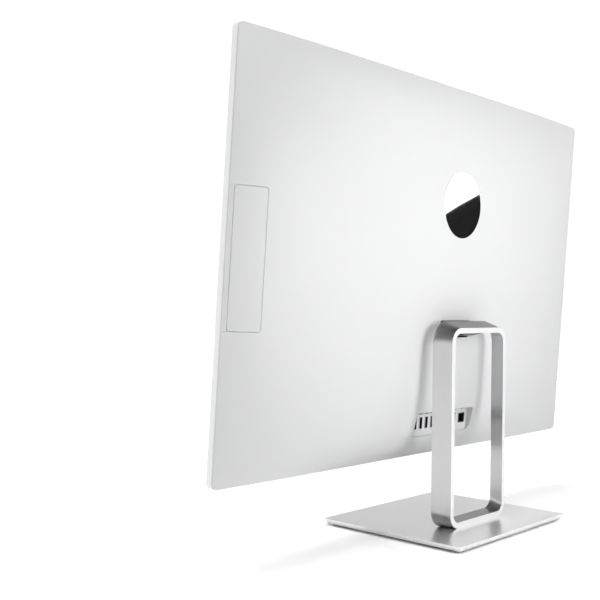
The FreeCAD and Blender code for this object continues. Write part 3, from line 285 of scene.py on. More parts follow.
def spread_clamped(tree, factor, zero_at, one_at):
    """0 to 1 as the factor goes from one value to another, held at both ends."""
    ranged = tree.nodes.new("ShaderNodeMapRange")
    ranged.inputs["From Min"].default_value = zero_at
    ranged.inputs["From Max"].default_value = one_at
    tree.links.new(factor, ranged.inputs["Value"])
    return ranged.outputs["Result"]


def moulded(name, colour, rough, depth=MOULDED_GRAIN):
    """Moulded plastic: fine texture, slight tone and gloss variation."""
    material, tree, shader = new_material(name)
    darker = tuple(part * (1 - MOULDED_TONE) for part in colour)
    broad = noise(tree, MOULDED_BLOTCH, 3)
    tree.links.new(blend_colours(tree, broad, darker, colour), shader.inputs["Base Color"])
    fine = noise(tree, MOULDED_SCALE, 2)
    tree.links.new(spread(tree, noise(tree, MOULDED_GLOSS, 5), rough - MOULDED_CHANGE,
                          rough + MOULDED_CHANGE), shader.inputs["Roughness"])
    add_bump(tree, shader, fine, MOULDED_RELIEF, depth)
    set_inputs(shader, IOR=MOULDED_IOR)
    return material


def metal(name, colour, rough, grain=METAL_GRAIN, stretch=None):
    """Metal with a fine blasted or brushed grain."""
    material, tree, shader = new_material(name)
    grained = noise(tree, grain, 3, 0.6, stretch)
    darker = tuple(part * 0.94 for part in colour)
    broad = noise(tree, METAL_BLOTCH, 4)
    tree.links.new(blend_colours(tree, broad, darker, colour), shader.inputs["Base Color"])
    tree.links.new(spread(tree, grained, rough - GLOSS_CHANGE, rough + GLOSS_CHANGE),
                   shader.inputs["Roughness"])
    add_bump(tree, shader, grained, METAL_RELIEF, FINE_GRAIN)
    set_inputs(shader, Metallic=1.0)
    return material


def facing(tree, axis, starts, full):
    """0 to 1 as a face turns towards one of the room's axes."""
    geometry = tree.nodes.new("ShaderNodeNewGeometry")
    parts = tree.nodes.new("ShaderNodeSeparateXYZ")
    tree.links.new(geometry.outputs["Normal"], parts.inputs["Vector"])
    return spread_clamped(tree, parts.outputs[axis], starts, full)


SOCKET_RIM = 0.5 * MM
RIM_PLACE = float(turned_box("usb_ports")[1][1])


def socket_metal(name, colour, dark, rim_at):
    """Plated socket rims; everything deeper than half a millimetre behind the rim is dark and not metal, the
    shells' inner walls too.
    """
    material, tree, shader = new_material(name)
    place = tree.nodes.new("ShaderNodeTexCoord")
    along = tree.nodes.new("ShaderNodeVectorMath")
    along.operation = "DOT_PRODUCT"
    along.inputs[1].default_value = BACK
    tree.links.new(place.outputs["Object"], along.inputs[0])
    at_rim = spread_clamped(tree, along.outputs["Value"], rim_at - SOCKET_RIM, rim_at)
    brushed = noise(tree, SOCKET_BRUSH, 3)
    tree.links.new(blend_colours(tree, at_rim, dark, colour), shader.inputs["Base Color"])
    tree.links.new(at_rim, shader.inputs["Metallic"])
    tree.links.new(spread(tree, brushed, 0.30, 0.45), shader.inputs["Roughness"])
    add_bump(tree, shader, brushed, SOCKET_RELIEF, FINE_GRAIN)
    return material


def mirror(name, colour):
    """Polished metal with the faintest wipe marks in its gloss."""
    material, tree, shader = new_material(name)
    wiped = noise(tree, WIPE_MARKS, 5, 0.6, (1, 1, 3))
    tree.links.new(spread(tree, wiped, 0.012, 0.035), shader.inputs["Roughness"])
    dull = tuple(part * 0.97 for part in colour)
    tree.links.new(blend_colours(tree, noise(tree, MIRROR_BLOTCH, 3), dull, colour),
                   shader.inputs["Base Color"])
    set_inputs(shader, Metallic=1.0)
    return material


THREAD_SCALE = 260.0


def cloth(name, dark, light):
    """Fine woven speaker cloth: threads crossing at a pitch near one millimetre."""
    material, tree, shader = new_material(name)
    place = tree.nodes.new("ShaderNodeTexCoord")
    threads = []
    for direction in ("X", "Z"):
        wave = tree.nodes.new("ShaderNodeTexWave")
        wave.bands_direction = direction
        wave.inputs["Scale"].default_value = THREAD_SCALE
        wave.inputs["Distortion"].default_value = 0.4
        wave.inputs["Detail"].default_value = 1.0
        tree.links.new(place.outputs["Object"], wave.inputs["Vector"])
        threads.append(wave.outputs["Fac"])
    weave = tree.nodes.new("ShaderNodeMath")
    weave.operation = "MULTIPLY"
    tree.links.new(threads[0], weave.inputs[0])
    tree.links.new(threads[1], weave.inputs[1])
    tree.links.new(blend_colours(tree, weave.outputs["Value"], dark, light),
                   shader.inputs["Base Color"])
    tree.links.new(spread(tree, noise(tree, CLOTH_GLOSS, 3), 0.75, 0.95),
                   shader.inputs["Roughness"])
    add_bump(tree, shader, weave.outputs["Value"], WEAVE_RELIEF, WEAVE_DEPTH)
    return material


# how far a face has turned where each painted tone starts and where it's full: painted shade on upper faces, a
# painted highlight on rear faces
SHADED_UPPER_FACING = (0.25, 0.8)
HIGHLIT_REAR_FACING = (0.75, 0.95)
# tones of the painted shade on upper faces and of the painted highlight on the rear cut edge
UPPER_PAINTED_SHADE = (0.20, 0.20, 0.204)
CUT_EDGE_PAINTED_HIGHLIGHT = (0.63, 0.63, 0.635)


def loop_metal_painted_light(name, colour, rough):
    """Satin loop metal with painted light: a painted highlight on its rear cut edge, painted shade on its upper
    faces.
    """
    material, tree, shader = new_material(name)
    grained = noise(tree, LOOP_BRUSH, 3, 0.6)
    darker = tuple(part * 0.95 for part in colour)
    satin = blend_colours(tree, noise(tree, METAL_BLOTCH, 4), darker, colour)
    # painted shade: upper faces are darker in colour, standing for the shade they get
    painted_shade = tree.nodes.new("ShaderNodeMix")
    painted_shade.data_type = "RGBA"
    painted_shade.inputs["B"].default_value = (*UPPER_PAINTED_SHADE, 1)
    tree.links.new(facing(tree, "Z", *SHADED_UPPER_FACING), painted_shade.inputs["Factor"])
    tree.links.new(satin, painted_shade.inputs["A"])
    # painted highlight: rear faces are brighter in colour, a real polished cut edge made brighter to stand for the
    # light it catches
    painted_highlight = tree.nodes.new("ShaderNodeMix")
    painted_highlight.data_type = "RGBA"
    painted_highlight.inputs["B"].default_value = (*CUT_EDGE_PAINTED_HIGHLIGHT, 1)
    tree.links.new(facing(tree, "Y", *HIGHLIT_REAR_FACING), painted_highlight.inputs["Factor"])
    tree.links.new(painted_shade.outputs["Result"], painted_highlight.inputs["A"])
    tree.links.new(painted_highlight.outputs["Result"], shader.inputs["Base Color"])
    tree.links.new(spread(tree, grained, rough - GLOSS_CHANGE, rough + GLOSS_CHANGE),
                   shader.inputs["Roughness"])
    add_bump(tree, shader, grained, METAL_RELIEF, FINE_GRAIN)
    set_inputs(shader, Metallic=1.0)
    return material


COAT_WEIGHT = 0.3
COAT_ROUGH = 0.03
PANEL_IOR = 1.42
SCREEN_IOR = 1.3


def glass_black(name, colour, rough, coat=COAT_WEIGHT, ior=PANEL_IOR):
    """A dark panel behind smooth clear glass."""
    material, tree, shader = new_material(name)
    haze = noise(tree, GLASS_HAZE, 5)
    tree.links.new(blend_colours(tree, haze, colour, tuple(c * 1.4 for c in colour)),
                   shader.inputs["Base Color"])
    tree.links.new(spread(tree, noise(tree, GLASS_SMEAR, 6), rough * 0.7, rough * 1.3),
                   shader.inputs["Roughness"])
    add_bump(tree, shader, noise(tree, GLASS_RIPPLE, 2), GLASS_RELIEF, GLASS_WAVE)
    set_inputs(shader, Coat_Weight=coat, Coat_Roughness=COAT_ROUGH, IOR=ior)
    return material


FLOOR_TONES = ((0.93, 0.93, 0.93), (0.95, 0.95, 0.95))
FLOOR_ROUGH = (0.24, 0.32)
FLOOR_IOR = 1.3


def floor_material():
    """White card with a soft gloss."""
    material, tree, shader = new_material("floor_white")
    tree.links.new(blend_colours(tree, noise(tree, FLOOR_BLOTCH, 3), *FLOOR_TONES),
                   shader.inputs["Base Color"])
    tree.links.new(spread(tree, noise(tree, FLOOR_GLOSS, 3), *FLOOR_ROUGH),
                   shader.inputs["Roughness"])
    set_inputs(shader, IOR=FLOOR_IOR)
    return material


COVER_WHITE = (0.575, 0.577, 0.582)
MATERIALS = {
    "white_cover": moulded("white_cover", COVER_WHITE, 0.48),
    "white_band": moulded("white_band", (0.78, 0.783, 0.79), 0.30, FINE_GRAIN),
    "black_bezel": glass_black("black_bezel", (0.010, 0.010, 0.011), 0.16),
    "grille_cloth": cloth("grille_cloth", (0.008, 0.008, 0.009), (0.06, 0.06, 0.063)),
    "screen_glass": glass_black("screen_glass", (0.006, 0.007, 0.009), 0.14, 0.0,
                                SCREEN_IOR),
    "acrylic_stack": moulded("acrylic_stack", (0.75, 0.77, 0.80), 0.25),
    "sheet_steel": metal("sheet_steel", (0.55, 0.56, 0.58), 0.38, 700, (1, 1, 12)),
    "black_plastic": moulded("black_plastic", (0.018, 0.018, 0.019), 0.5),
    "paper_cone": moulded("paper_cone", (0.03, 0.03, 0.03), 0.9),
    "port_metal": socket_metal("port_metal", (0.55, 0.55, 0.57), (0.012, 0.012, 0.013),
                               RIM_PLACE),
    "circuit_board": moulded("circuit_board", (0.008, 0.075, 0.04), 0.35),
    "chip_metal": metal("chip_metal", (0.62, 0.63, 0.65), 0.35),
    "copper": metal("copper", (0.72, 0.36, 0.22), 0.28),
    "fin_metal": metal("fin_metal", (0.70, 0.71, 0.73), 0.3),
    # the loop's material paints shade on its upper faces and a highlight on its rear edge
    "satin_silver": loop_metal_painted_light("satin_silver", (0.56, 0.56, 0.565), 0.34),
    "base_silver": metal("base_silver", (0.78, 0.78, 0.785), 0.30, 2400),
    "black_rubber": moulded("black_rubber", (0.012, 0.012, 0.012), 0.85),
    "dark_hinge": metal("dark_hinge", (0.10, 0.10, 0.105), 0.45),
    "badge_chrome": mirror("badge_chrome", (0.93, 0.93, 0.935)),
    "lens_glass": glass_black("lens_glass", (0.005, 0.005, 0.008), 0.05),
}


def paint_nodes():
    """Gives every CAD node the material that its record names."""
    for part in frame["record"]["subparts"]:
        mesh = NODES[part["node"]].data
        mesh.materials.clear()
        mesh.materials.append(MATERIALS[part["material_slot"]])


# rounded edge widths in millimetres
SOFT_EDGES = {
    "base_plate": 0.45, "mid_frame": 0.35, "hinge_neck": 0.5, "hinge_cover": 0.25,
    "front_bezel": 0.12, "speaker_grille": 0.2, "camera_module": 0.3,
    "power_button": 0.3, "io_panel": 0.15, "network_port": 0.12, "usb_ports": 0.12,
    "hdmi_ports": 0.12, "base_pad": 0.3, "hinge_bracket": 0.3, "drive_tray": 0.25,
    "drive_case": 0.2, "disc_spindle": 0.25, "hinge_nuts": 0.2, "stand_ring": 0.35,
}
EDGE_SEGMENTS = 2
JOIN_WITHIN = 0.002 * MM
SHARP_FROM = math.radians(38)


def soften_nodes():
    """Small rounded edges on the CAD pieces, at the size a real part has."""
    for name, width in SOFT_EDGES.items():
        thing = NODES[name]
        weld = thing.modifiers.new("join_edges", "WELD")
        weld.merge_threshold = JOIN_WITHIN
        rounding = thing.modifiers.new("soft_edges", "BEVEL")
        rounding.width = width * MM
        rounding.segments = EDGE_SEGMENTS
        rounding.limit_method = "ANGLE"
        rounding.angle_limit = SHARP_FROM
        rounding.use_clamp_overlap = True
        rounding.harden_normals = True


# ---------------------------------------------------------------- cards and floor

# the cards in metres: the plan places of each one's two upright edges, then its
# foot and top, its tone and its glow
BLACK_NEAR = (-2.418, 1.782)
BLACK_FAR = (-2.666, 1.534)
BLACK_FOOT = 0.10
BLACK_NEAR_TOP = 0.346
BLACK_FAR_TOP = 0.78
BLACK_TONE = 0.004
WHITE_NEAR = (-0.6, 4.1)
WHITE_FAR = (-4.3, 0.4)
WHITE_FOOT = 0.02
WHITE_TOP = 3.2
WHITE_TONE = 0.8
WHITE_GLOW = 0.95
FAR_SIDES = 8
FAR_REACH = 14.0
FAR_HEIGHT = 3.8
FAR_GLOW = 1.0


def card(name, corners, tone, glow):
    """A flat studio card that is seen only in reflections."""
    mesh = bpy.data.meshes.new(name)
    mesh.from_pydata(corners, [], [tuple(range(len(corners)))])
    thing = bpy.data.objects.new(name, mesh)
    bpy.context.scene.collection.objects.link(thing)
    material, _, shader = new_material(name)
    set_inputs(shader, Base_Color=(tone, tone, tone), Roughness=1.0,
               Emission_Color=(1.0, 1.0, 1.0), Emission_Strength=glow)
    mesh.materials.append(material)
    thing.visible_camera = False
    thing.visible_diffuse = False
    thing.visible_shadow = False


def make_cards():
    """The black card's slanting top edge shows in the mirror badge, before a white one.

    A ring of pale cards far out keeps the floor white up to the horizon.
    """
    card("black_card", [(*BLACK_NEAR, BLACK_FOOT), (*BLACK_NEAR, BLACK_NEAR_TOP),
                        (*BLACK_FAR, BLACK_FAR_TOP), (*BLACK_FAR, BLACK_FOOT)],
         BLACK_TONE, 0.0)
    card("white_card", [(*WHITE_FAR, WHITE_FOOT), (*WHITE_NEAR, WHITE_FOOT),
                        (*WHITE_NEAR, WHITE_TOP), (*WHITE_FAR, WHITE_TOP)],
         WHITE_TONE, WHITE_GLOW)
    for side in range(FAR_SIDES):
        angles = [math.tau * (side + step) / FAR_SIDES for step in (-0.5, 0.5)]
        first, second = [(FAR_REACH * math.cos(angle), FAR_REACH * math.sin(angle))
                         for angle in angles]
        card(f"far_card_{side}", [(*first, 0.0), (*second, 0.0), (*second, FAR_HEIGHT),
                                  (*first, FAR_HEIGHT)], WHITE_TONE, FAR_GLOW)


FLOOR_HALF = 6.0


def make_floor():
    """A plain pale floor."""
    mesh = bpy.data.meshes.new("studio_floor")
    corners = [(-1, -1), (1, -1), (1, 1), (-1, 1)]
    mesh.from_pydata([(x * FLOOR_HALF, y * FLOOR_HALF, 0) for x, y in corners], [],
                     [(0, 1, 2, 3)])
    floor = bpy.data.objects.new("studio_floor", mesh)
    bpy.context.scene.collection.objects.link(floor)
    floor.data.materials.append(floor_material())


# ---------------------------------------------------------------- outlines and skins

RUN_STEP = 4 * MM
ARC_STEPS = 8
ROUNDING_STEPS = 4
CLEAR_SHARE = 0.35
LEVEL_WITHIN = 1e-12
TRIANGLE_WITHIN = 1e-7


def traced(corners):
    """A closed outline through corners (x, y, radius), with arcs and even runs."""
    marks = []
    count = len(corners)
    for index, (x, y, radius) in enumerate(corners):
        here = Vector((x, y))
        before = (Vector(corners[index - 1][:2]) - here).normalized()
        after = (Vector(corners[(index + 1) % count][:2]) - here).normalized()
        if radius <= 0:
            marks.append([here])
            continue
        centre = here + (before + after) * radius
        arc = []
        for step in range(ARC_STEPS + 1):
            share = step / ARC_STEPS * math.pi / 2
            arc.append(centre - after * radius * math.cos(share)
                       - before * radius * math.sin(share))
        marks.append(arc)
    points = []
    for index, arc in enumerate(marks):
        points.extend(arc)
        following = marks[(index + 1) % count][0]
        run = following - arc[-1]
        pieces = max(1, int(run.length / RUN_STEP))
        points.extend(arc[-1] + run * (step / pieces) for step in range(1, pieces))
    clean = []
    for point in points:
        if not clean or (point - clean[-1]).length > SAME_PLACE:
            clean.append(point)
    if (clean[0] - clean[-1]).length < SAME_PLACE:
        clean.pop()
    return clean


def rectangle(left, right, low, high, radius):
    """A closed outline with four equal corner arcs."""
    return traced([(left, low, radius), (right, low, radius), (right, high, radius),
                   (left, high, radius)])


def area_of(loop):
    """The loop's area, positive when it runs anticlockwise."""
    return sum(a.x * b.y - b.x * a.y for a, b in zip(loop, loop[1:] + loop[:1])) / 2


def moved_in(loop, distance_at):
    """The loop moved towards its inside, by a distance that may differ by point."""
    sign = 1 if area_of(loop) > 0 else -1
    moved = []
    for index, point in enumerate(loop):
        first = (point - loop[index - 1]).normalized()
        second = (loop[(index + 1) % len(loop)] - point).normalized()
        normal_a = Vector((-first.y, first.x)) * sign
        normal_b = Vector((-second.y, second.x)) * sign
        mitre = (normal_a + normal_b) / (1 + normal_a.dot(normal_b))
        moved.append(point + mitre * distance_at(point))
    return moved


def inside(loop, points):
    """Which of the points lie inside a closed loop, as a mask."""
    xs, ys = points[:, 0], points[:, 1]
    found = np.zeros(len(points), bool)
    for a, b in zip(loop, loop[1:] + loop[:1]):
        crosses = (a.y > ys) != (b.y > ys)
        rise = b.y - a.y if abs(b.y - a.y) > LEVEL_WITHIN else LEVEL_WITHIN
        found ^= crosses & (xs < (b.x - a.x) * (ys - a.y) / rise + a.x)
    return found


class Skin:
    """A surface drawn as outlines on a flat layout and laid over a form."""

    def __init__(self, name, place, down, form=None):
        self.name = name
        self.place = place
        self.down = down
        self.form = bmesh.new() if form is None else form

    def fill(self, outer, holes, step):
        """Triangles between the outer loop and the holes; gives each loop's vertices."""
        loops = [outer] + holes
        flat = [point for loop in loops for point in loop]
        edges = []
        start = 0
        for loop in loops:
            count = len(loop)
            edges.extend((start + k, start + (k + 1) % count) for k in range(count))
            start += count
        edge_points = np.array([tuple(point) for point in flat])
        low, high = edge_points.min(0), edge_points.max(0)
        xs = np.arange(low[0] + step / 2, high[0], step)
        ys = np.arange(low[1] + step / 2, high[1], step)
        grid = np.array([(x, y) for x in xs for y in ys]).reshape(-1, 2)
        grid = grid[inside(outer, grid)]
        for hole in holes:
            grid = grid[~inside(hole, grid)]
        clear = [Vector(g) for g in grid
                 if np.min(np.hypot(*(edge_points - g).T)) > step * CLEAR_SHARE]
        made = delaunay_2d_cdt(flat + clear, edges, [], 0, TRIANGLE_WITHIN)
        places, _, faces, sources = made[:4]
        middles = np.array([np.mean([tuple(places[k]) for k in face], axis=0)
                            for face in faces])
        keep = inside(outer, middles)
        for hole in holes:
            keep &= ~inside(hole, middles)
        vertices = [self.form.verts.new(self.place(*point)) for point in places]
        home = {}
        for index, old in enumerate(sources):
            for number in old:
                home[number] = vertices[index]
        for face, wanted in zip(faces, keep):
            if wanted:
                self.form.faces.new([vertices[k] for k in face])
        rings = []
        start = 0
        for loop in loops:
            rings.append([home[start + k] for k in range(len(loop))])
            start += len(loop)
        loose = [v for v in self.form.verts if not v.link_faces]
        for v in loose:
            if all(v not in ring for ring in rings):
                self.form.verts.remove(v)
        self.form.faces.ensure_lookup_table()
        return rings

    def rim(self, ring, start_loop, edge_loop, bottom_at, rounding_at, open_at=None):
        """A rounded edge from a ring of vertices, and the wall below it."""
        previous = ring
        for step in range(1, ROUNDING_STEPS + 1):
            t = step / ROUNDING_STEPS
            row = []
            for start, edge in zip(start_loop, edge_loop):
                first = self.place(start.x, start.y)
                corner = self.place(edge.x, edge.y)
                last = corner + self.down * rounding_at(edge)
                row.append(self.form.verts.new(
                    first * (1 - t) ** 2 + corner * 2 * t * (1 - t) + last * t ** 2))
            self.bridge(previous, row)
            previous = row
        row = []
        for edge in edge_loop:
            corner = self.place(edge.x, edge.y)
            row.append(self.form.verts.new(corner + self.down * bottom_at(edge)))
        closed = [open_at is None or not (open_at(edge) and open_at(following))
                  for edge, following in zip(edge_loop, edge_loop[1:] + edge_loop[:1])]
        self.bridge(previous, row, closed)
        return row

    def bridge(self, first, second, wanted=None):
        """Four-sided faces between two equal rings, where they're wanted."""
        count = len(first)
        for k in range(count):
            if wanted is not None and not wanted[k]:
                continue
            following = (k + 1) % count
            corners = (first[k], first[following], second[following], second[k])
            if len(set(corners)) == 4:
                self.form.faces.new(corners)

    def finished(self):
        """The skin as a mesh, joined up and set in its place on the head."""
        bmesh.ops.remove_doubles(self.form, verts=self.form.verts, dist=JOIN_WITHIN)
        bmesh.ops.recalc_face_normals(self.form, faces=self.form.faces)
        self.form.transform(HEAD)
        mesh = bpy.data.meshes.new(self.name)
        self.form.to_mesh(mesh)
        self.form.free()
        return mesh


CREASE = math.radians(40)


def finish_piece(name, mesh, look, body):
    """Puts a mesh in the scene with its look and the body that it rides on."""
    thing = bpy.data.objects.new(name, mesh)
    bpy.context.scene.collection.objects.link(thing)
    mesh.materials.append(MATERIALS[look])
    mesh.shade_smooth()
    mesh.set_sharp_from_angle(angle=CREASE)
    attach(thing, body)
    return thing


# ---------------------------------------------------------------- rear cover and door

EDGE_DEPTH = 8.1 * MM
TOP_CROWN = 6.5 * MM
BOTTOM_CROWN = 2.3 * MM
SIDE_POWER = 4.0
TOP_POWER = 4.0
BOTTOM_POWER = 9.0
CORNER_RADIUS = 6.0 * MM
COVER_WALL = 2.2 * MM
MIDDLE_DEPTH = head_box("rear_cover")[1][1]
BAND_BACK = head_box("mid_frame")[1][1]
HALF_WIDTH = HEAD_WIDTH / 2
HALF_HEIGHT = HEAD_HEIGHT / 2
FORWARD = Vector((0, -1, 0))
SLOPE_STEP = 0.2 * MM


def cover_depth(across, up):
    """Depth behind the front face: the same crowned pillow as the CAD's cover."""
    side = abs(across) / HALF_WIDTH
    end = abs(up) / HALF_HEIGHT
    rise = MIDDLE_DEPTH - EDGE_DEPTH
    crown = TOP_CROWN if up > 0 else BOTTOM_CROWN
    power = TOP_POWER if up > 0 else BOTTOM_POWER
    return EDGE_DEPTH + (1 - side ** SIDE_POWER) * (rise - (rise - crown) * end ** power)


def on_cover(across, up):
    """The place on the crowned rear face, in the head's frame."""
    return Vector((across, cover_depth(across, up), up))


def cover_normal(point):
    """The surface's own normal, from its slope, in the head's frame."""
    nudge = SLOPE_STEP
    slope_x = (cover_depth(point.x + nudge, point.z)
               - cover_depth(point.x - nudge, point.z)) / (2 * nudge)
    slope_z = (cover_depth(point.x, point.z + nudge)
               - cover_depth(point.x, point.z - nudge)) / (2 * nudge)
    return Vector((-slope_x, 1, -slope_z)).normalized()


NEAR_FORM = 0.35 * MM
NEAR_PARALLEL = 0.995


def smooth_to_form(mesh):
    """Gives the crowned faces the true normals of the form; the rest stay as they are."""
    to_head = HEAD.inverted()
    turn = HEAD.to_3x3()
    normals = [Vector((0, 0, 0))] * len(mesh.loops)
    for face in mesh.polygons:
        centre = to_head @ face.center
        if abs(cover_depth(centre.x, centre.z) - centre.y) > NEAR_FORM:
            continue
        true = turn @ cover_normal(centre)
        if face.normal.dot(true) < NEAR_PARALLEL:
            continue
        for loop in face.loop_indices:
            corner = to_head @ mesh.vertices[mesh.loops[loop].vertex_index].co
            normals[loop] = turn @ cover_normal(corner)
    mesh.normals_split_custom_set(normals)


door_low, door_high = head_box("drive_faceplate")
DOOR_LEFT = door_low[0]
DOOR_HALF = door_high[2]
DOOR_RADIUS = 2.5 * MM
DOOR_FROM_SIDE = 4.0 * MM
DOOR_RIGHT = HALF_WIDTH - DOOR_FROM_SIDE
SEAM = 0.5 * MM
TIGHT_SEAM = 0.1 * MM
STRIP_HALF = DOOR_HALF + TIGHT_SEAM
panel_low, panel_high = head_box("io_panel")
RECESS_RADIUS = 4.0 * MM
HINGE_SLOT_WIDE = 27.6 * MM
HINGE_SLOT_TALL = 9.0 * MM
HINGE_SLOT_RADIUS = 1.5 * MM
badge_low, badge_high = head_box("rear_badge")
BADGE_UP = (badge_low[2] + badge_high[2]) / 2
BADGE_RADIUS = (badge_high[2] - badge_low[2]) / 2


def round_loop(x, y, radius, count=96):
    """A circle as a closed outline."""
    return [Vector((x + radius * math.cos(k / count * math.tau),
                    y + radius * math.sin(k / count * math.tau))) for k in range(count)]


def strip_rounding(wide, tight):
    """A rounding that is small where the door's strip meets the cover."""
    def rounding_at(point):
        in_strip = (point.x > DOOR_RIGHT - DOOR_RADIUS / 2 - SEAM
                    and abs(point.y) < DOOR_HALF + SEAM)
        return tight if in_strip else wide

    return rounding_at


VENT_COUNT = 18
VENT_PITCH = 8.0 * MM
VENT_WIDTH = 3.0 * MM
VENT_FRONT = 7.4 * MM
VENT_SHARE = 0.3
VENT_ROUND = 0.45
VENT_DEPTH = 1.8 * MM
VENT_EDGE = 0.15 * MM
CAMERA_SLOT_GAP = 0.25 * MM
CAMERA_SLOT_RADIUS = 0.8 * MM
WALL_STEP = 6 * MM
OUTLET_PLACE = -110 * MM
INTAKE_PLACE = 80 * MM


def slotted_wall(skin, side, edge_points, rounding_at):
    """The cover's top or bottom wall with its air slots; the top has the camera's too."""
    edge_points = sorted(edge_points, key=lambda point: point.x)
    rim_line = [Vector((p.x, cover_depth(p.x, p.y) - rounding_at(p)))
                for p in edge_points]
    band_line = [Vector((p.x, BAND_BACK)) for p in edge_points]
    outline = band_line + rim_line[::-1]
    middle = OUTLET_PLACE if side > 0 else INTAKE_PLACE
    crown = TOP_CROWN if side > 0 else BOTTOM_CROWN
    back = EDGE_DEPTH + VENT_SHARE * crown
    slots = []
    for index in range(VENT_COUNT):
        centre = middle + (index - (VENT_COUNT - 1) / 2) * VENT_PITCH
        slots.append(rectangle(centre - VENT_WIDTH / 2, centre + VENT_WIDTH / 2,
                               VENT_FRONT, back, (back - VENT_FRONT) * VENT_ROUND))
    if side > 0:
        low, high = head_box("camera_module")
        gap = CAMERA_SLOT_GAP
        slots.append(rectangle(low[0] - gap, high[0] + gap, low[1] - gap,
                               high[1] + gap, CAMERA_SLOT_RADIUS))
    wall = Skin("wall", lambda x, y: Vector((x, y, side * HALF_HEIGHT)),
                Vector((0, 0, -side)), skin.form)
    opened = [moved_in(slot, lambda p: -VENT_EDGE) for slot in slots]
    rings = wall.fill(outline, opened, WALL_STEP)
    for ring, opening, slot in zip(rings[1:], opened, slots):
        wall.rim(ring, opening, slot, lambda p: VENT_DEPTH, lambda p: VENT_EDGE)


# rounded edges of the cover and door, how far their cut walls go in, and the
# spacing of the points between their outlines
COVER_EDGE = 0.4 * MM
DOOR_EDGE = 0.35 * MM
TIGHT_EDGE = 0.05 * MM
RECESS_EDGE = 0.7 * MM
HINGE_SLOT_EDGE = 0.6 * MM
BADGE_SEAT_EDGE = 0.15 * MM
BADGE_SEAT = 0.9 * MM
STRIP_WALL = 1.2 * MM
PAST_PANEL = 1 * MM
PAST_DOOR = 1 * MM
COVER_STEP = 5 * MM
DOOR_STEP = 3 * MM


def make_cover():
    """The rear cover in one skin, with its openings, side notch and slotted walls."""
    skin = Skin("rear_cover_shell", on_cover, FORWARD)
    left = DOOR_LEFT - SEAM / 2
    high = DOOR_HALF + SEAM / 2
    step = DOOR_RIGHT - DOOR_RADIUS / 2
    radius = DOOR_RADIUS + SEAM / 2
    edge = traced([
        (-HALF_WIDTH, -HALF_HEIGHT, CORNER_RADIUS),
        (HALF_WIDTH, -HALF_HEIGHT, CORNER_RADIUS),
        (HALF_WIDTH, -STRIP_HALF, 0), (step, -STRIP_HALF, 0), (step, -high, 0),
        (left, -high, radius), (left, high, radius), (step, high, 0),
        (step, STRIP_HALF, 0), (HALF_WIDTH, STRIP_HALF, 0),
        (HALF_WIDTH, HALF_HEIGHT, CORNER_RADIUS),
        (-HALF_WIDTH, HALF_HEIGHT, CORNER_RADIUS)])
    rounding = strip_rounding(COVER_EDGE, TIGHT_EDGE)
    start = moved_in(edge, rounding)
    recess = rectangle(panel_low[0] - TIGHT_SEAM, panel_high[0] + TIGHT_SEAM,
                       panel_low[2] - TIGHT_SEAM, panel_high[2] + TIGHT_SEAM,
                       RECESS_RADIUS)
    bracket_low, bracket_high = head_box("hinge_bracket")
    axis = (bracket_high[2] + bracket_low[2]) / 2
    slot = rectangle(-HINGE_SLOT_WIDE, HINGE_SLOT_WIDE, axis - HINGE_SLOT_TALL,
                     axis + HINGE_SLOT_TALL, HINGE_SLOT_RADIUS)
    badge = round_loop(0, BADGE_UP, BADGE_RADIUS + TIGHT_SEAM)
    panel_back = panel_high[1]
    cuts = [(recess, RECESS_EDGE, lambda p: cover_depth(p.x, p.y) - panel_back + PAST_PANEL),
            (slot, HINGE_SLOT_EDGE, lambda p: COVER_WALL),
            (badge, BADGE_SEAT_EDGE, lambda p: BADGE_SEAT)]
    opened = [moved_in(loop, lambda p, r=r: -r) for loop, r, _ in cuts]
    rings = skin.fill(start, opened, COVER_STEP)

    def bottom(point):
        in_notch = point.x > left - MM and abs(point.y) < high + MM
        on_side = point.x > HALF_WIDTH - SAME_PLACE
        if in_notch and not on_side:
            return COVER_WALL if point.x < step - MM else STRIP_WALL
        return cover_depth(point.x, point.y) - BAND_BACK

    def in_slotted_wall(point):
        return (abs(point.x) < HALF_WIDTH - CORNER_RADIUS + SAME_PLACE
                and abs(point.y) > HALF_HEIGHT - SAME_PLACE)

    skin.rim(rings[0], start, edge, bottom, rounding, in_slotted_wall)
    for ring, opening, (loop, r, wall) in zip(rings[1:], opened, cuts):
        skin.rim(ring, opening, loop, wall, lambda p, r=r: r)
    for side in (-1, 1):
        slotted_wall(skin, side, [p for p in edge if in_slotted_wall(p)
                                  and p.y * side > 0], rounding)
    mesh = skin.finished()
    shell = finish_piece("rear_cover_shell", mesh, "white_cover", "head")
    smooth_to_form(mesh)
    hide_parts("rear_cover")


GROOVE_WIDTH = 0.7 * SEAM
GROOVE_INSET = 0.4 * MM
GROOVE_EDGE = 0.1 * MM


def door_groove():
    """A thin line that carries the seam's rounded outline down the outer side."""
    reach = DOOR_RADIUS
    high = DOOR_HALF - GROOVE_INSET

    def side(offset):
        row = []
        for step in range(ARC_STEPS + 1):
            angle = math.pi / 2 * (1 - step / ARC_STEPS)
            row.append(Vector((DOOR_RIGHT - reach + (reach - offset) * math.cos(angle),
                               high - reach + (reach - offset) * math.sin(angle))))
        count = int(2 * (high - reach) / RUN_STEP)
        top = high - reach
        for step in range(1, count):
            row.append(Vector((DOOR_RIGHT - offset, top - 2 * top * step / count)))
        for step in range(ARC_STEPS + 1):
            angle = -math.pi / 2 * step / ARC_STEPS
            row.append(Vector((DOOR_RIGHT - reach + (reach - offset) * math.cos(angle),
                               -high + reach + (reach - offset) * math.sin(angle))))
        return row

    return side(GROOVE_WIDTH) + side(0)[::-1]


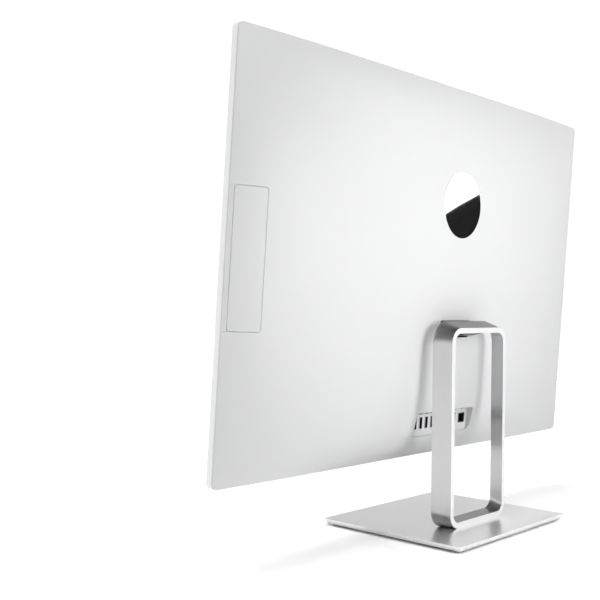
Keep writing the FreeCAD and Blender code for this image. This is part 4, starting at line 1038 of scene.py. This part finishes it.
def make_door():
    """The drive's door, which carries on the cover's crown across its outer side."""
    skin = Skin("drive_door_skin", on_cover, FORWARD)
    left = DOOR_LEFT
    edge = traced([
        (HALF_WIDTH, -DOOR_HALF, 0), (HALF_WIDTH, DOOR_HALF, 0),
        (left, DOOR_HALF, DOOR_RADIUS), (left, -DOOR_HALF, DOOR_RADIUS)])
    rounding = strip_rounding(DOOR_EDGE, TIGHT_EDGE)
    start = moved_in(edge, rounding)
    groove = door_groove()
    opened = moved_in(groove, lambda p: -GROOVE_EDGE)
    rings = skin.fill(start, [opened], DOOR_STEP)

    def bottom(point):
        if point.x > HALF_WIDTH - SAME_PLACE:
            return cover_depth(point.x, point.y) - BAND_BACK - TIGHT_SEAM
        return cover_depth(point.x, point.y) - door_low[1] - PAST_DOOR

    skin.rim(rings[0], start, edge, bottom, rounding)
    skin.rim(rings[1], opened, groove, lambda p: SEAM, lambda p: GROOVE_EDGE)
    mesh = skin.finished()
    door = finish_piece("drive_door_skin", mesh, "white_cover", "drive")
    smooth_to_form(mesh)
    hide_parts("drive_faceplate")


# the dots' height as a share of the socket panel's, then their size
MARK_SHARE = 0.9
MARK_RADIUS = 0.7 * MM
MARK_STEPS = 20
MARK_THICK = 0.04 * MM
GROUP_GAP = 1.2 * MM
SINGLE_SOCKETS = ("network_port", "power_inlet", "audio_jack")
SOCKET_ROWS = ("usb_ports", "hdmi_ports")


def socket_places():
    """Middles across of the separate sockets, found as groups along each node."""
    places = []
    for node in SOCKET_ROWS + SINGLE_SOCKETS:
        across = np.unique(np.round((vertices_of(node) @ np.array(TURN))[:, 0], 5))
        groups = np.split(across, np.where(np.diff(across) > GROUP_GAP)[0] + 1)
        if node in SINGLE_SOCKETS:
            groups = [across]
        places.extend((group.min() + group.max()) / 2 for group in groups)
    return places


def make_port_marks():
    """A small plain dot printed above each socket, with no symbol in it."""
    form = bmesh.new()
    up = panel_low[2] + MARK_SHARE * (panel_high[2] - panel_low[2])
    back = panel_high[1]
    for place in socket_places():
        rows = []
        for drop in (0, MARK_THICK):
            ring = round_loop(place, up, MARK_RADIUS, MARK_STEPS)
            rows.append([form.verts.new((p.x, back + drop, p.y)) for p in ring])
        form.faces.new(rows[1])
        for k in range(MARK_STEPS):
            following = (k + 1) % MARK_STEPS
            form.faces.new((rows[0][k], rows[0][following], rows[1][following],
                            rows[1][k]))
    bmesh.ops.recalc_face_normals(form, faces=form.faces)
    form.transform(HEAD)
    mesh = bpy.data.meshes.new("port_marks")
    form.to_mesh(mesh)
    form.free()
    finish_piece("port_marks", mesh, "black_plastic", "head")


BADGE_PROUD_LIMIT = 0.3 * MM
BADGE_INSET = 0.25 * MM
BADGE_THICK = 0.8 * MM
BADGE_ROUND = 0.2 * MM
BADGE_STEP = 4 * MM


def make_badge():
    """A plain mirror disc with a fine rounded edge, following the cover's crown."""
    proud = badge_high[1] - cover_depth(0, BADGE_UP)
    proud = min(max(proud, 0.0), BADGE_PROUD_LIMIT)
    skin = Skin("badge_disc", lambda x, y: on_cover(x, y) - FORWARD * proud, FORWARD)
    edge = round_loop(0, BADGE_UP, BADGE_RADIUS)
    start = moved_in(edge, lambda p: BADGE_INSET)
    rings = skin.fill(start, [], BADGE_STEP)
    skin.rim(rings[0], start, edge, lambda p: BADGE_THICK, lambda p: BADGE_ROUND)
    mesh = skin.finished()
    disc = finish_piece("badge_disc", mesh, "badge_chrome", "head")
    smooth_to_form(mesh)
    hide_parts("rear_badge")


# ---------------------------------------------------------------- make everything

make_camera()
make_studio()
make_cards()
make_floor()
paint_nodes()
soften_nodes()
make_cover()
make_door()
make_badge()
make_port_marks()
